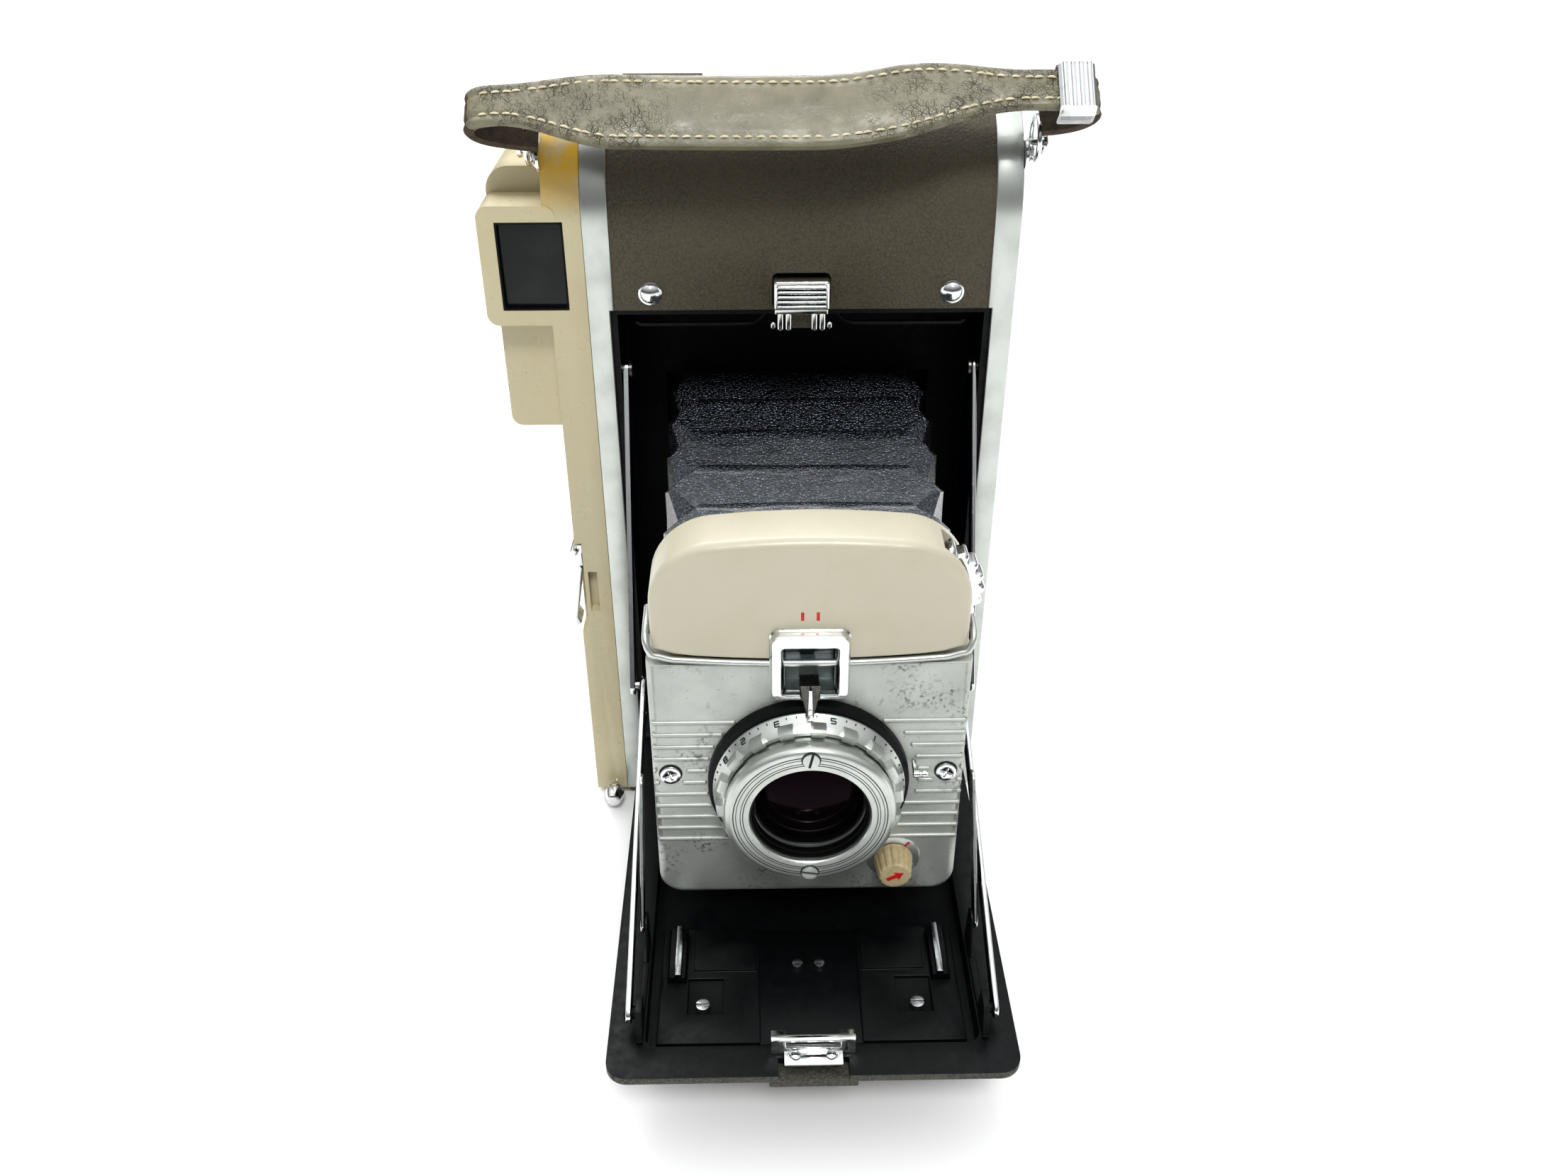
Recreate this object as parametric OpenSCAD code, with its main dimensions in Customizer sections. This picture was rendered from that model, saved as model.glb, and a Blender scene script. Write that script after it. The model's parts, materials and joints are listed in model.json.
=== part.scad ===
// Folding roll-film instant camera, standing open on its base.
// X is right, -Y is the front, Z is up. The origin is the centre of the base.

/* [Body] */
// Width of the body between its side trims
body_w = 105; // [104:0.5:106]
// Depth of the body, front to back
body_d = 57; // [57:0.5:58]
// Height of the body
body_h = 206.5; // [206:0.5:207]
// Height of the parting line between the panel and the bed opening
opening_top = 157.6; // [157:0.2:158]
// Height of the bottom edge of the bed opening
opening_low = 25.4; // [25.2:0.1:25.4]
// Wall of the body casting
wall = 2.2; // [2:0.2:2.4]
// Distance of the front and back castings' parting line behind the body centre
split_y = 9.6; // [9.6:0.2:10]

/* [Bed] */
// Length of the bed from the body centre to its front edge
bed_reach = 152.5; // [152:0.5:153]
// Half width of the bed's rim
bed_hw = 46.6; // [46.4:0.1:46.7]
// Height of the bed's rim above the base
bed_rim = 27.4; // [27.2:0.1:27.5]
// Height of the floor inside the bed
bed_floor = 21.2; // [21:0.1:21.3]

/* [Front standard] */
// Half width of the shutter housing
std_hw = 36.6; // [36:0.2:36.6]
// Distance of the housing's face in front of the body centre
face_y = 102.3; // [102:0.1:102.4]
// Height of the line between the housing and its cap
seam_z = 105.5; // [105:0.5:106]
// Height of the lens axis
lens_z = 70.4; // [70:0.2:70.6]
// Outer radius of the front lens ring
ring_r = 19.7; // [19.5:0.1:19.8]
// Radius of the lens opening
lens_r = 13.8; // [13:0.1:14]

/* [Strap] */
// Width of the carrying strap at its middle
strap_w = 17.5; // [17:0.5:18.5]
// Thickness of the strap
strap_t = 2.6; // [2.4:0.1:2.8]

/* [Hidden] */
$fn = 64;

hw = body_w / 2;
hd = body_d / 2;
top_r = hd;
top_z = body_h - top_r;
base_r = 5;
trim_in = 47.1;
open_hw = 47;
gate_y = 2.6;
hinge = [-25.5, 30];          // bed hinge axis: y, z
strut_wall = [-23.5, 140];    // upper strut pivot on the body: y, z
strut_knee = [-60.5, 66.8];   // knee between the struts: y, z
strut_bed = [-138.9, 33];     // lower strut pivot on the bed: y, z
brace_foot = [-116.5, 38];    // brace pivot on the bed: y, z
brace_head = [-97.5, 65];     // rounded top of the brace: y, z
upper_x = 43.9;               // inner face of an upper strut
lower_x = 41.1;               // inner face of a lower strut
brace_x = 39.4;               // inner face of a brace
link_t = 1.2;
back_y = 87.5;                // back of the front standard, in front of the centre
lug_y = -23;
lug_z = 196;
cover_axis = [9.6, 204.3];    // back cover hinge: y, z
hinge_groove = 1.35;          // radius of the groove round that hinge
door_axis = [30.1, 152];      // print door hinge: y, z

// ---- Shared shapes ----

module block(x0, x1, y0, y1, z0, z1) {
    translate([x0, y0, z0]) cube([x1 - x0, y1 - y0, z1 - z0]);
}

// Extrudes a (y, z) outline along X
module along_x(x0, x1) {
    translate([x0, 0, 0]) rotate([90, 0, 90]) linear_extrude(x1 - x0) children();
}

// Extrudes an (x, z) outline along Y
module along_y(y0, y1) {
    translate([0, y1, 0]) rotate([90, 0, 0]) linear_extrude(y1 - y0) children();
}

module xcyl(x0, x1, y, z, r) {
    translate([x0, y, z]) rotate([0, 90, 0]) cylinder(h = x1 - x0, r = r);
}

module ycyl(y0, y1, x, z, r) {
    translate([x, y1, z]) rotate([90, 0, 0]) cylinder(h = y1 - y0, r = r);
}

module zcyl(z0, z1, x, y, r) {
    translate([x, y, z0]) cylinder(h = z1 - z0, r = r);
}

// Cone along Y from radius ra at y0 to rb at y1
module ycone(y0, y1, x, z, ra, rb) {
    translate([x, y1, z]) rotate([90, 0, 0]) cylinder(h = y1 - y0, r1 = rb, r2 = ra);
}

module rounded(u0, u1, v0, v1, r) {
    translate([u0 + r, v0]) square([u1 - u0 - 2 * r, v1 - v0]);
    translate([u0, v0 + r]) square([u1 - u0, v1 - v0 - 2 * r]);
    for (u = [u0 + r, u1 - r]) for (v = [v0 + r, v1 - r]) translate([u, v]) circle(r);
}

// Side outline of the body, inset by o
module profile(o = 0) {
    translate([0, top_z]) circle(top_r - o, $fn = 96);
    translate([-(hd - o), base_r]) square([2 * (hd - o), top_z - base_r]);
    translate([-(hd - base_r), o]) square([2 * (hd - base_r), top_z - o]);
    for (s = [-1, 1]) translate([s * (hd - base_r), base_r]) circle(base_r - o);
}

// Part of the side outline between two heights and two depths
module profile_part(o, y0, y1, z0, z1) {
    intersection() {
        profile(o);
        translate([y0, z0]) square([y1 - y0, z1 - z0]);
    }
}

// Tube or disc along Y, from an (r, y) outline turned about the lens axis
module lens_turned() {
    translate([0, 0, lens_z]) rotate([90, 0, 0]) rotate_extrude($fn = 96) children();
}

// Flat link between two (y, z) points, x0 to x1, with round ends
module link(x0, x1, a, b, w) {
    len = norm(b - a);
    ang = atan2(b[1] - a[1], b[0] - a[0]);
    along_x(x0, x1) translate(a) rotate(ang) {
        translate([0, -w / 2]) square([len, w]);
        circle(w / 2);
        translate([len, 0]) circle(w / 2);
    }
}

// Dome of radius r and height h pointing to -Y
module dome(x, y, z, r, h) {
    ball = (r * r + h * h) / (2 * h);
    intersection() {
        translate([x, y - h + ball, z]) sphere(ball);
        ycyl(y - h - 1, y, x, z, r);
    }
}

module both_sides() {
    children();
    mirror([1, 0, 0]) children();
}

// ---- Body ----

shell_in = 1.2;

module body_shell() {
    color("dimgray") difference() {
        union() {
            along_x(-hw + 0.8, hw - 0.8) profile_part(shell_in, -hd, split_y, 0, body_h);
            along_x(-hw + 0.8, hw - 0.8) profile_part(0, -hd, hd, 0, 3);
        }
        block(-open_hw, open_hw, -hd - 1, gate_y, opening_low, opening_top);
        block(-46, 46, gate_y - 0.1, split_y + 1, opening_low + 0.5, opening_top - 0.4);
        along_x(-45, 45) profile_part(shell_in + wall, -hd, split_y + 1, opening_top + 5, body_h);
        along_x(-45, 45) profile_part(shell_in + wall, -hd, split_y + 1, 3, opening_low - 2.5);
        block(-45, 45, 0, split_y + 1, opening_low - 3, opening_low + 1);
        block(-45, 45, 0, split_y + 1, opening_top - 1, opening_top + 6);
        for (s = [0, 1]) mirror([s, 0, 0]) {
            xcyl(44, 48, -14, 14.5, 1.56);
            xcyl(44, 48, -6, 181, 1.56);
            xcyl(46.4, 50, strut_wall[0], strut_wall[1], 1.5);
            xcyl(46.4, 50, hinge[0], hinge[1], 1.2);
        }
        block(-8.2, 8.2, -hd - 1, -hd + 2.5, opening_top - 1, 170);
        zcyl(-1, 4, 0, 0, 5.5);
        xcyl(-45, 45, cover_axis[0], cover_axis[1], hinge_groove);
    }
}

module side_trim() {
    color("silver") difference() {
        union() {
            along_x(hw - 0.8, hw) profile_part(0, -hd, split_y, 0, body_h);
            along_x(trim_in, hw) difference() {
                profile_part(0, -hd, split_y, 0, body_h);
                profile(shell_in);
            }
            along_x(46.1, trim_in) difference() {
                profile_part(0, -hd, split_y, opening_top, body_h);
                profile(shell_in);
            }
        }
        block(40, hw + 1, -hd - 1, hd, -1, 3);
        block(40, hw - 0.8, 5.4, hd, -1, 6);
    }
}

module side_trim_right() {
    side_trim();
}

module side_trim_left() {
    mirror([1, 0, 0]) side_trim();
}

leaf_hw = 22;
leaf_y = 6.8;

module front_panel() {
    color([0.28, 0.25, 0.2]) difference() {
        along_x(-46.1, 46.1) difference() {
            profile_part(0.3, -hd, split_y, opening_top, body_h);
            profile(shell_in);
        }
        block(-7.3, 7.3, -hd - 1, -hd + 4, opening_top - 1, 167);
        block(-leaf_hw, leaf_hw, leaf_y, split_y + 1, 190, body_h);
        xcyl(-45, 45, cover_axis[0], cover_axis[1], hinge_groove);
    }
}

module lower_front_panel() {
    color([0.28, 0.25, 0.2]) along_x(-46.1, 46.1) difference() {
        profile_part(0.3, -hd, 0, 3, opening_low - 0.6);
        profile(shell_in);
    }
}

module opening_bezel() {
    color([0.08, 0.08, 0.09]) along_y(-27.2, -25.2) difference() {
        translate([-open_hw, opening_low + 12]) square([2 * open_hw, opening_top - opening_low - 12]);
        translate([-45.5, opening_low + 11]) square([91, opening_top - opening_low - 12.4]);
    }
}

module panel_rivets() {
    color("silver") both_sides() dome(37, -hd + 0.3, 162, 2.6, 1.5);
}

module catch_strike() {
    color("silver") {
        difference() {
            block(-6.6, 6.6, -hd - 1.1, -hd + 0.3, 152.5, opening_top);
            block(-2.6, 2.6, -hd - 1.2, -hd - 0.6, 151, 159);
            for (s = [-1, 1]) block(s * 4.6 - 0.35, s * 4.6 + 0.35, -hd - 1.2, -hd - 0.5, 151, 159);
        }
        block(-6.6, 6.6, -hd - 1.1, -hd + 2.5, opening_top, opening_top + 0.7);
    }
}

module latch_spring() {
    color([0.1, 0.1, 0.1]) both_sides() {
        xcyl(8, 41, -24, 152.4, 0.6);
        for (x = [8.6, 40.4]) zcyl(152.4, opening_top, x, -24, 0.6);
    }
}

module film_gate() {
    color([0.12, 0.12, 0.12]) difference() {
        block(-45.8, 45.8, gate_y, gate_y + 2.2, opening_low + 0.6, opening_top - 0.6);
        block(-36.5, 36.5, gate_y - 1, gate_y + 4, 33, 128);
    }
}

// ---- Range finder housing on the left side ----

finder_x0 = -77.3;
button_z = 4.9;
strip_x0 = -61.5;
tunnel = [-73.1, -56.9, 157.9, 179.8];

module finder_housing() {
    color([0.87, 0.82, 0.7]) difference() {
        union() {
            along_x(strip_x0, -hw) profile_part(0, -hd, split_y - 0.4, 3.4, 199.6);
            along_y(-hd, 20) rounded(finder_x0, strip_x0 + 3, 154, 183.7, 3);
            along_y(-17, 20) rounded(finder_x0 + 1, strip_x0 + 3, 165, 190, 6);
            along_y(-22.5, 14) rounded(-75.4, strip_x0 + 2, 124, 158, 3);
        }
        block(tunnel[0], tunnel[1], -hd - 1, 21, tunnel[2], tunnel[3]);
        block(-58.5, -56, -hd - 1, -hd + 3, 69, 82);
        ycyl(-hd - 1, split_y, -56, button_z, 1.02);
        block(-63, -59.6, -hd - 1, -20, 62, 91);
    }
}

module finder_window() {
    color([0.2, 0.22, 0.22, 0.6]) difference() {
        block(tunnel[0], tunnel[1], -hd + 1.4, -hd + 2.6, tunnel[2], tunnel[3]);
        block(tunnel[0] + 6, tunnel[1] - 6, -hd + 1.3, -hd + 1.5, 166, 172);
    }
}

module finder_eyepiece() {
    color([0.1, 0.1, 0.1]) difference() {
        along_y(15, 22.5) rounded(tunnel[0], tunnel[1], tunnel[2], tunnel[3], 0.5);
        ycyl(14, 24, (tunnel[0] + tunnel[1]) / 2, (tunnel[2] + tunnel[3]) / 2, 6);
    }
}

module accessory_clip() {
    color("silver") {
        block(-61.2, -59.6, -28.4, -20, 84, 90.6);
        ycyl(-hd - 1.6, -20.4, -61.8, 89, 1);
        block(-63.2, -61.2, -24, -23, 84.6, 87.6);
    }
}

clip_pivot = [-60.8, 82];

// Sprung plate of the accessory clip
module accessory_plate() {
    color("silver") {
        along_y(-27.6, -21.5) polygon([[-60.4, 83.2], [-61.2, 83.2], [-64.5, 66.7], [-64.2, 64.4],
            [-62.8, 63.4], [-61.6, 64.6], [-62.6, 66.6], [-60.4, 80.2]]);
        ycyl(-27.6, -21.5, clip_pivot[0], clip_pivot[1], 0.7);
    }
}

module strap_lugs() {
    color("silver") for (s = [-1, 1]) mirror([s < 0 ? 1 : 0, 0, 0]) {
        x0 = s > 0 ? hw : -strip_x0;
        xcyl(x0, x0 + 1, lug_y, lug_z - 2.6, 3.4);
        xcyl(x0, x0 + 4, lug_y, lug_z, 1.5);
        xcyl(x0 + 4, x0 + 5, lug_y, lug_z, 2.4);
    }
}

module tripod_bush() {
    color("silver") difference() {
        zcyl(0, 7, 0, 0, 5.5);
        zcyl(-1, 8, 0, 0, 2.6);
    }
}

module hinge_pins() {
    color("silver") both_sides() {
        xcyl(38.4, 50, hinge[0], hinge[1], 1.2);
        xcyl(43.5, 50, strut_wall[0], strut_wall[1], 1.5);
        xcyl(43, 43.7, strut_wall[0], strut_wall[1], 2.4);
    }
}

module cover_hinge() {
    color("silver") {
        xcyl(-leaf_hw, leaf_hw, cover_axis[0], cover_axis[1], 1.1);
        xcyl(-44, 44, cover_axis[0], cover_axis[1], 0.6);
        along_x(-leaf_hw, leaf_hw) difference() {
            profile_part(0.3, leaf_y, cover_axis[0] - 0.4, 190, body_h);
            profile(shell_in);
        }
    }
}

// Tapering box from y0 to y1 with half widths w0, w1 and [low, high] pairs zz0, zz1
module bellows_tube(y0, y1, w0, w1, zz0, zz1) {
    hull() {
        block(-w0, w0, y0 - 0.5, y0, zz0[0], zz0[1]);
        block(-w1, w1, y1, y1 + 0.5, zz1[0], zz1[1]);
    }
}

module bellows() {
    color([0.13, 0.14, 0.16]) difference() {
        bellows_tube(gate_y - 0.1, 0.1 - back_y, 36, 30, [opening_low + 1, 130], [36.5, 128]);
        bellows_tube(gate_y + 1, -back_y - 1, 33, 27, [opening_low + 4, 127], [39.5, 125]);
    }
}

module film_roll(y, z, r) {
    xcyl(-40, 40, y, z, r);
    xcyl(-44.8, 44.8, y, z, 3);
    xcyl(-46.8, 46.8, y, z, 1.5);
}

module negative_roll() {
    color([0.85, 0.83, 0.78]) film_roll(-14, 14.5, 7.6);
}

module print_roll() {
    color([0.92, 0.92, 0.9]) film_roll(-6, 181, 14);
}

// ---- Bed ----

pan_hw = 38.2;
pan_back = -31.5;
pan_front = -(bed_reach - 8.5);
rim_t = 2;

// Plan outline of the bed, inset by o
module bed_outline(x, y0, y1, r) {
    difference() {
        rounded(-x, x, y0, y1 + r, r);
        translate([-x - 1, y1]) square([2 * x + 2, 2 * r]);
    }
}

module bed_shell() {
    color([0.1, 0.11, 0.12]) difference() {
        union() {
            translate([0, 0, bed_rim - rim_t]) linear_extrude(rim_t)
                bed_outline(bed_hw, -bed_reach, -hd - 0.6, 5);
            translate([0, 0, bed_floor - 1.2]) linear_extrude(bed_rim - bed_floor)
                bed_outline(pan_hw + 1.2, pan_front - 1.2, pan_back + 1.2, 4);
            both_sides() link(39, 45.2, hinge, [-33, 27.2], 4.2);
        }
        translate([0, 0, bed_floor]) linear_extrude(bed_rim)
            bed_outline(pan_hw, pan_front, pan_back, 3);
        block(-8, 8, -bed_reach - 1, -bed_reach + 5, bed_rim - 4, bed_rim + 1);
        both_sides() xcyl(38, 47.5, hinge[0], hinge[1], 1.25);
        both_sides() block(39.5, 47.5, -45, -20, 19, bed_rim - rim_t);
    }
}

module focus_rails() {
    color("silver") both_sides() {
        block(30, 34, -121.4, -105.6, bed_floor, bed_floor + 3);
        block(31, 32.6, -121.4, -105.6, bed_floor + 3, bed_floor + 4);
    }
}

module bed_front_plate() {
    color([0.12, 0.13, 0.14]) difference() {
        block(-36, 36, -139.5, -104.6, bed_floor, bed_floor + 1.4);
        block(-12, 12, -141, -104, bed_floor + 0.6, bed_floor + 3);
        both_sides() {
            block(29.8, 34.2, -121.6, -104, bed_floor - 1, bed_floor + 3);
            block(20.8, 29.2, -131, -120.4, bed_floor + 0.3, bed_floor + 3);
        }
    }
    color([0.12, 0.13, 0.14]) both_sides() block(13, 28, -118.4, -106, bed_floor + 1.4, bed_floor + 2);
}

module bed_fasteners() {
    color("silver") both_sides() {
        difference() {
            zcyl(bed_floor + 0.3, bed_floor + 1.6, 25.6, -128.4, 1.7);
            block(23, 28, -128.7, -128.1, bed_floor + 1, bed_floor + 3);
        }
        zcyl(bed_floor + 0.6, bed_floor + 1.4, 2.7, -115.8, 1.3);
    }
}

module catch_bracket() {
    color("silver") {
        difference() {
            block(-9.5, 9.5, -146.6, -145.2, bed_rim, bed_rim + 5);
            block(-6.2, 6.2, -147, -145, bed_rim + 2, bed_rim + 4);
        }
        both_sides() block(6.2, 9.5, -145.2, -140.6, bed_rim, bed_rim + 0.8);
        block(-6.6, 6.6, -150, -144, bed_rim, bed_rim + 1);
        for (x = [-4, 4]) zcyl(bed_rim + 1, bed_rim + 1.6, x, -148, 1.1);
    }
}

module strut_bracket() {
    difference() {
        union() {
            block(38.6, 40, -143.5, -114, bed_rim, bed_rim + 1);
            along_x(38.6, 40) {
                polygon([[-143.5, bed_rim], [-134.5, bed_rim], [-136.4, 36], [-141.4, 36]]);
                polygon([[-120.5, bed_rim], [-112.5, bed_rim], [-114, 39], [-119, 39]]);
            }
            xcyl(38.6, 40, brace_foot[0], brace_foot[1], 2.5);
            xcyl(38.6, 42.9, strut_bed[0], strut_bed[1], 1.45);
        }
        block(39.2, 40.6, -121.5, -60, bed_rim + 1.2, 45);
    }
    xcyl(38.6, 40.6, brace_foot[0], brace_foot[1], 1.2);
}

module strut_brackets() {
    color("silver") both_sides() strut_bracket();
}

// ---- Struts ----

module upper_strut() {
    color("silver") difference() {
        union() {
            link(upper_x, upper_x + link_t, strut_wall, strut_knee, 5);
            xcyl(upper_x - 1.2, upper_x, strut_knee[0], strut_knee[1], 1.4);
        }
        xcyl(upper_x - 0.5, upper_x + 2, strut_wall[0], strut_wall[1], 1.55);
    }
}

module upper_strut_right() {
    upper_strut();
}

module upper_strut_left() {
    mirror([1, 0, 0]) upper_strut();
}

module lower_strut() {
    color("silver") difference() {
        link(lower_x, lower_x + link_t, strut_knee, strut_bed, 5);
        xcyl(lower_x - 1, lower_x + 2, strut_bed[0], strut_bed[1], 1.5);
    }
}

module lower_strut_right() {
    lower_strut();
}

module lower_strut_left() {
    mirror([1, 0, 0]) lower_strut();
}

module brace() {
    color("silver") difference() {
        link(brace_x, brace_x + 0.8, brace_foot, brace_head, 5);
        xcyl(brace_x - 1, brace_x + 2, brace_foot[0], brace_foot[1], 1.25);
    }
}

module brace_right() {
    brace();
}

module brace_left() {
    mirror([1, 0, 0]) brace();
}

// ---- Front standard ----

rib_count = 10;
rib_pitch = 4.1;
wheel_c = [27.5, 120];
knob_c = [21, 45];

module shutter_housing() {
    color("silver") difference() {
        union() {
            along_y(-face_y, -90) difference() {
                rounded(-std_hw, std_hw, 33, seam_z + 8, 6);
                translate([-50, seam_z]) square([100, 20]);
            }
            for (i = [0 : rib_count - 1]) both_sides()
                along_y(-face_y - 0.7, -face_y) rounded(24.6, std_hw, 52 + rib_pitch * i, 53.9 + rib_pitch * i, 0.9);
        }
        along_y(-99.6, -89) rounded(-33.6, 33.6, 36, seam_z - 2, 3);
        ycyl(-face_y - 1, -88, 0, lens_z, 15.4);
        ycyl(-face_y - 1, -96, knob_c[0], knob_c[1], 2.05);
        block(-9.2, 9.2, -face_y - 1, -99, 94, seam_z + 1);
        ycyl(-face_y - 2, -face_y, 0, lens_z, 23.8);
        both_sides() ycyl(-face_y - 1.2, -face_y, 32.3, 72.3, 2.6);
        both_sides() ycyl(-face_y - 1.2, -98, 32.3, 72.3, 1.2);
        block(20.4, 30, -face_y - 1, -98, 68, 82);
    }
}

module back_plate() {
    color([0.15, 0.15, 0.16]) difference() {
        along_y(-90, -back_y) rounded(-33.6, 33.6, 34.5, 130, 13);
        ycyl(-91, -86, 0, lens_z, 14.6);
    }
}

// Outline of the cap: an arched top on rounded shoulders, inset by o
module cap_outline(o = 0) {
    arch_r = 240;
    cap_top = 135.5;
    cap_hw = std_hw - 0.8;
    intersection() {
        translate([-cap_hw + o, seam_z + o]) square([2 * (cap_hw - o), 40]);
        translate([0, cap_top - arch_r]) circle(arch_r - o, $fn = 128);
        rounded(-cap_hw + o, cap_hw - o, seam_z - 30, cap_top + 0.4 - o, 15);
    }
}

module top_cap() {
    color([0.68, 0.66, 0.58]) {
        difference() {
            along_y(-face_y, -90.2) cap_outline();
            along_y(-99.8, -89) cap_outline(2.4);
            block(-9.2, 9.2, -face_y - 1, -98, seam_z - 1, 112.2);
            ycyl(-101, -89, wheel_c[0], wheel_c[1], 11.6);
        }
        ycyl(-101.2, -92, wheel_c[0], wheel_c[1], 2);
    }
}

module window_frame() {
    color("silver") difference() {
        along_y(-105.5, -99.9) rounded(-9, 9, 95, 112, 1.5);
        along_y(-107, -98) rounded(-5.6, 5.6, 96.6, 107.4, 0.6);
    }
}

module window_glass() {
    color([0.25, 0.3, 0.3, 0.6]) along_y(-102.6, -101.6) rounded(-5.6, 5.6, 96.6, 107.4, 0.6);
}

module focus_pointer() {
    color("silver") {
        along_y(-109.6, -108.8) polygon([[-2.4, 97.2], [2.4, 97.2], [0.6, 92.5], [-0.6, 92.5]]);
        block(-2.4, 2.4, -108.8, -105.5, 96, 97.2);
        block(-2.4, 2.4, -109.6, -108.8, 96, 97.2);
    }
}

// Raised slotted screw facing -Y
module face_screw(x, y, z, r, h) {
    difference() {
        ycyl(y - h, y, x, z, r);
        for (a = [0, 90]) translate([x, 0, z]) rotate([0, a + 20, 0])
            translate([-r * 0.6, y - h - 1, -0.25]) cube([r * 1.2, 1.6, 0.5]);
    }
}

module face_screws() {
    color("silver") both_sides() {
        face_screw(32.3, -face_y, 72.3, 2.4, 1);
        ycyl(-face_y, -98, 32.3, 72.3, 1.15);
    }
}

module dial_plate() {
    color("silver") difference() {
        ycyl(-face_y - 0.5, -face_y, knob_c[0], knob_c[1], 6.7);
        ycyl(-face_y - 1, -face_y + 1, knob_c[0], knob_c[1], 2.05);
    }
}

module lens_base_ring() {
    color([0.1, 0.1, 0.1]) lens_turned() difference() {
        translate([15.5, face_y]) square([23.6 - 15.5, 3.4]);
        translate([21, face_y + 2.6]) square([4, 2]);
    }
}

module focus_ring() {
    color("silver") lens_turned() {
        translate([15.6, face_y + 3.6]) square([22.4 - 15.6, 2.6]);
        translate([17.4, face_y + 6.2]) square([21.6 - 17.4, 1.6]);
    }
}

module front_ring() {
    front = 116;
    color("silver") difference() {
        lens_turned() difference() {
            union() {
                translate([lens_r, 111.6]) square([17 - lens_r, front - 111.6]);
                translate([15, 111.6]) square([ring_r - 15, front - 113.6]);
                translate([ring_r - 2, front - 2]) circle(2);
                translate([15, front - 2]) square([ring_r - 17, 2]);
                translate([13, 100.2]) square([2.2, 12]);
            }
            translate([lens_r - 2, front - 1.5]) square([2, 3]);
        }
        for (s = [-1, 1]) ycyl(-front - 1, -front + 0.7, 0, lens_z + s * 16.9, 1.9);
    }
    color("silver") for (s = [-1, 1]) difference() {
        ycyl(-front + 0.1, -front + 0.7, 0, lens_z + s * 16.9, 1.9);
        block(-2, 2, -front - 0.1, -front + 0.4, lens_z + s * 16.9 - 0.3, lens_z + s * 16.9 + 0.3);
    }
}

module front_lens() {
    color([0.35, 0.25, 0.5, 0.6]) lens_turned() intersection() {
        translate([0, 112.8 - 30]) circle(30, $fn = 128);
        translate([0, 108.6]) square([12.9, 6]);
    }
}

module rear_lens() {
    color([0.35, 0.25, 0.5, 0.6]) ycyl(-90, -87.7, 0, lens_z, 14.5);
}

disc_c = [-12, 62];

// Turning disc with stop holes of four sizes, one of them on the lens axis
module aperture_disc() {
    reach = norm([disc_c[0], disc_c[1] - lens_z]);
    first = atan2(-(lens_z - disc_c[1]), -disc_c[0]);
    color([0.15, 0.15, 0.15]) difference() {
        ycyl(-98.6, -98, disc_c[0], disc_c[1], 20.5);
        for (k = [0 : 3]) translate([disc_c[0], 0, disc_c[1]]) rotate([0, first + k * 70, 0])
            ycyl(-100, -97, reach, 0, 5.2 - k);
    }
}

module exposure_wheel() {
    color("silver") difference() {
        ycyl(-98.2, -92.8, wheel_c[0], wheel_c[1], 10.9);
        ycyl(-100, -90, wheel_c[0], wheel_c[1], 2.06);
        for (k = [0 : 19]) translate([wheel_c[0], 0, wheel_c[1]]) rotate([0, k * 18, 0])
            ycyl(-99, -92, 11.3, 0, 1.1);
    }
}

module speed_knob() {
    color([0.8, 0.74, 0.6]) difference() {
        union() {
            ycone(-109.4, -face_y - 0.8, knob_c[0], knob_c[1], 3.9, 4.8);
            ycyl(-face_y - 0.8, -97, knob_c[0], knob_c[1], 2);
        }
        for (k = [0 : 13]) translate([knob_c[0], 0, knob_c[1]]) rotate([0, k * 360 / 14, 0])
            ycyl(-110, -face_y - 1.6, 4.9, 0, 0.45);
    }
}

module shutter_lever() {
    color("silver") {
        ycyl(-107.6, -106.3, 25.4, 75, 1.6);
        translate([0, 0, lens_z]) rotate([0, -10, 0]) block(24.2, 27.1, -107, -100.4, -1.1, 1.1);
    }
}

// ---- Buttons ----

module latch_button() {
    color("silver") {
        block(-6.8, 6.8, -hd - 4, -hd + 0.8, 158.7, 166);
        for (i = [0 : 3]) block(-5.6, 5.6, -hd - 4.5, -hd - 4, 159.6 + 1.6 * i, 160.4 + 1.6 * i);
    }
}

module release_button() {
    color("silver") {
        ycone(-hd - 8, -hd - 3.4, -56, button_z, 2.2, 3);
        ycyl(-hd - 3.4, -hd - 2.2, -56, button_z, 2.2);
        ycyl(-hd - 2.2, -14, -56, button_z, 0.95);
    }
}

// ---- Back of the body ----

door_hw = 40;
door_low = 38;
door_top = 150;

roller_y = 16;
roller_z = [175, 165.7];

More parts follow.
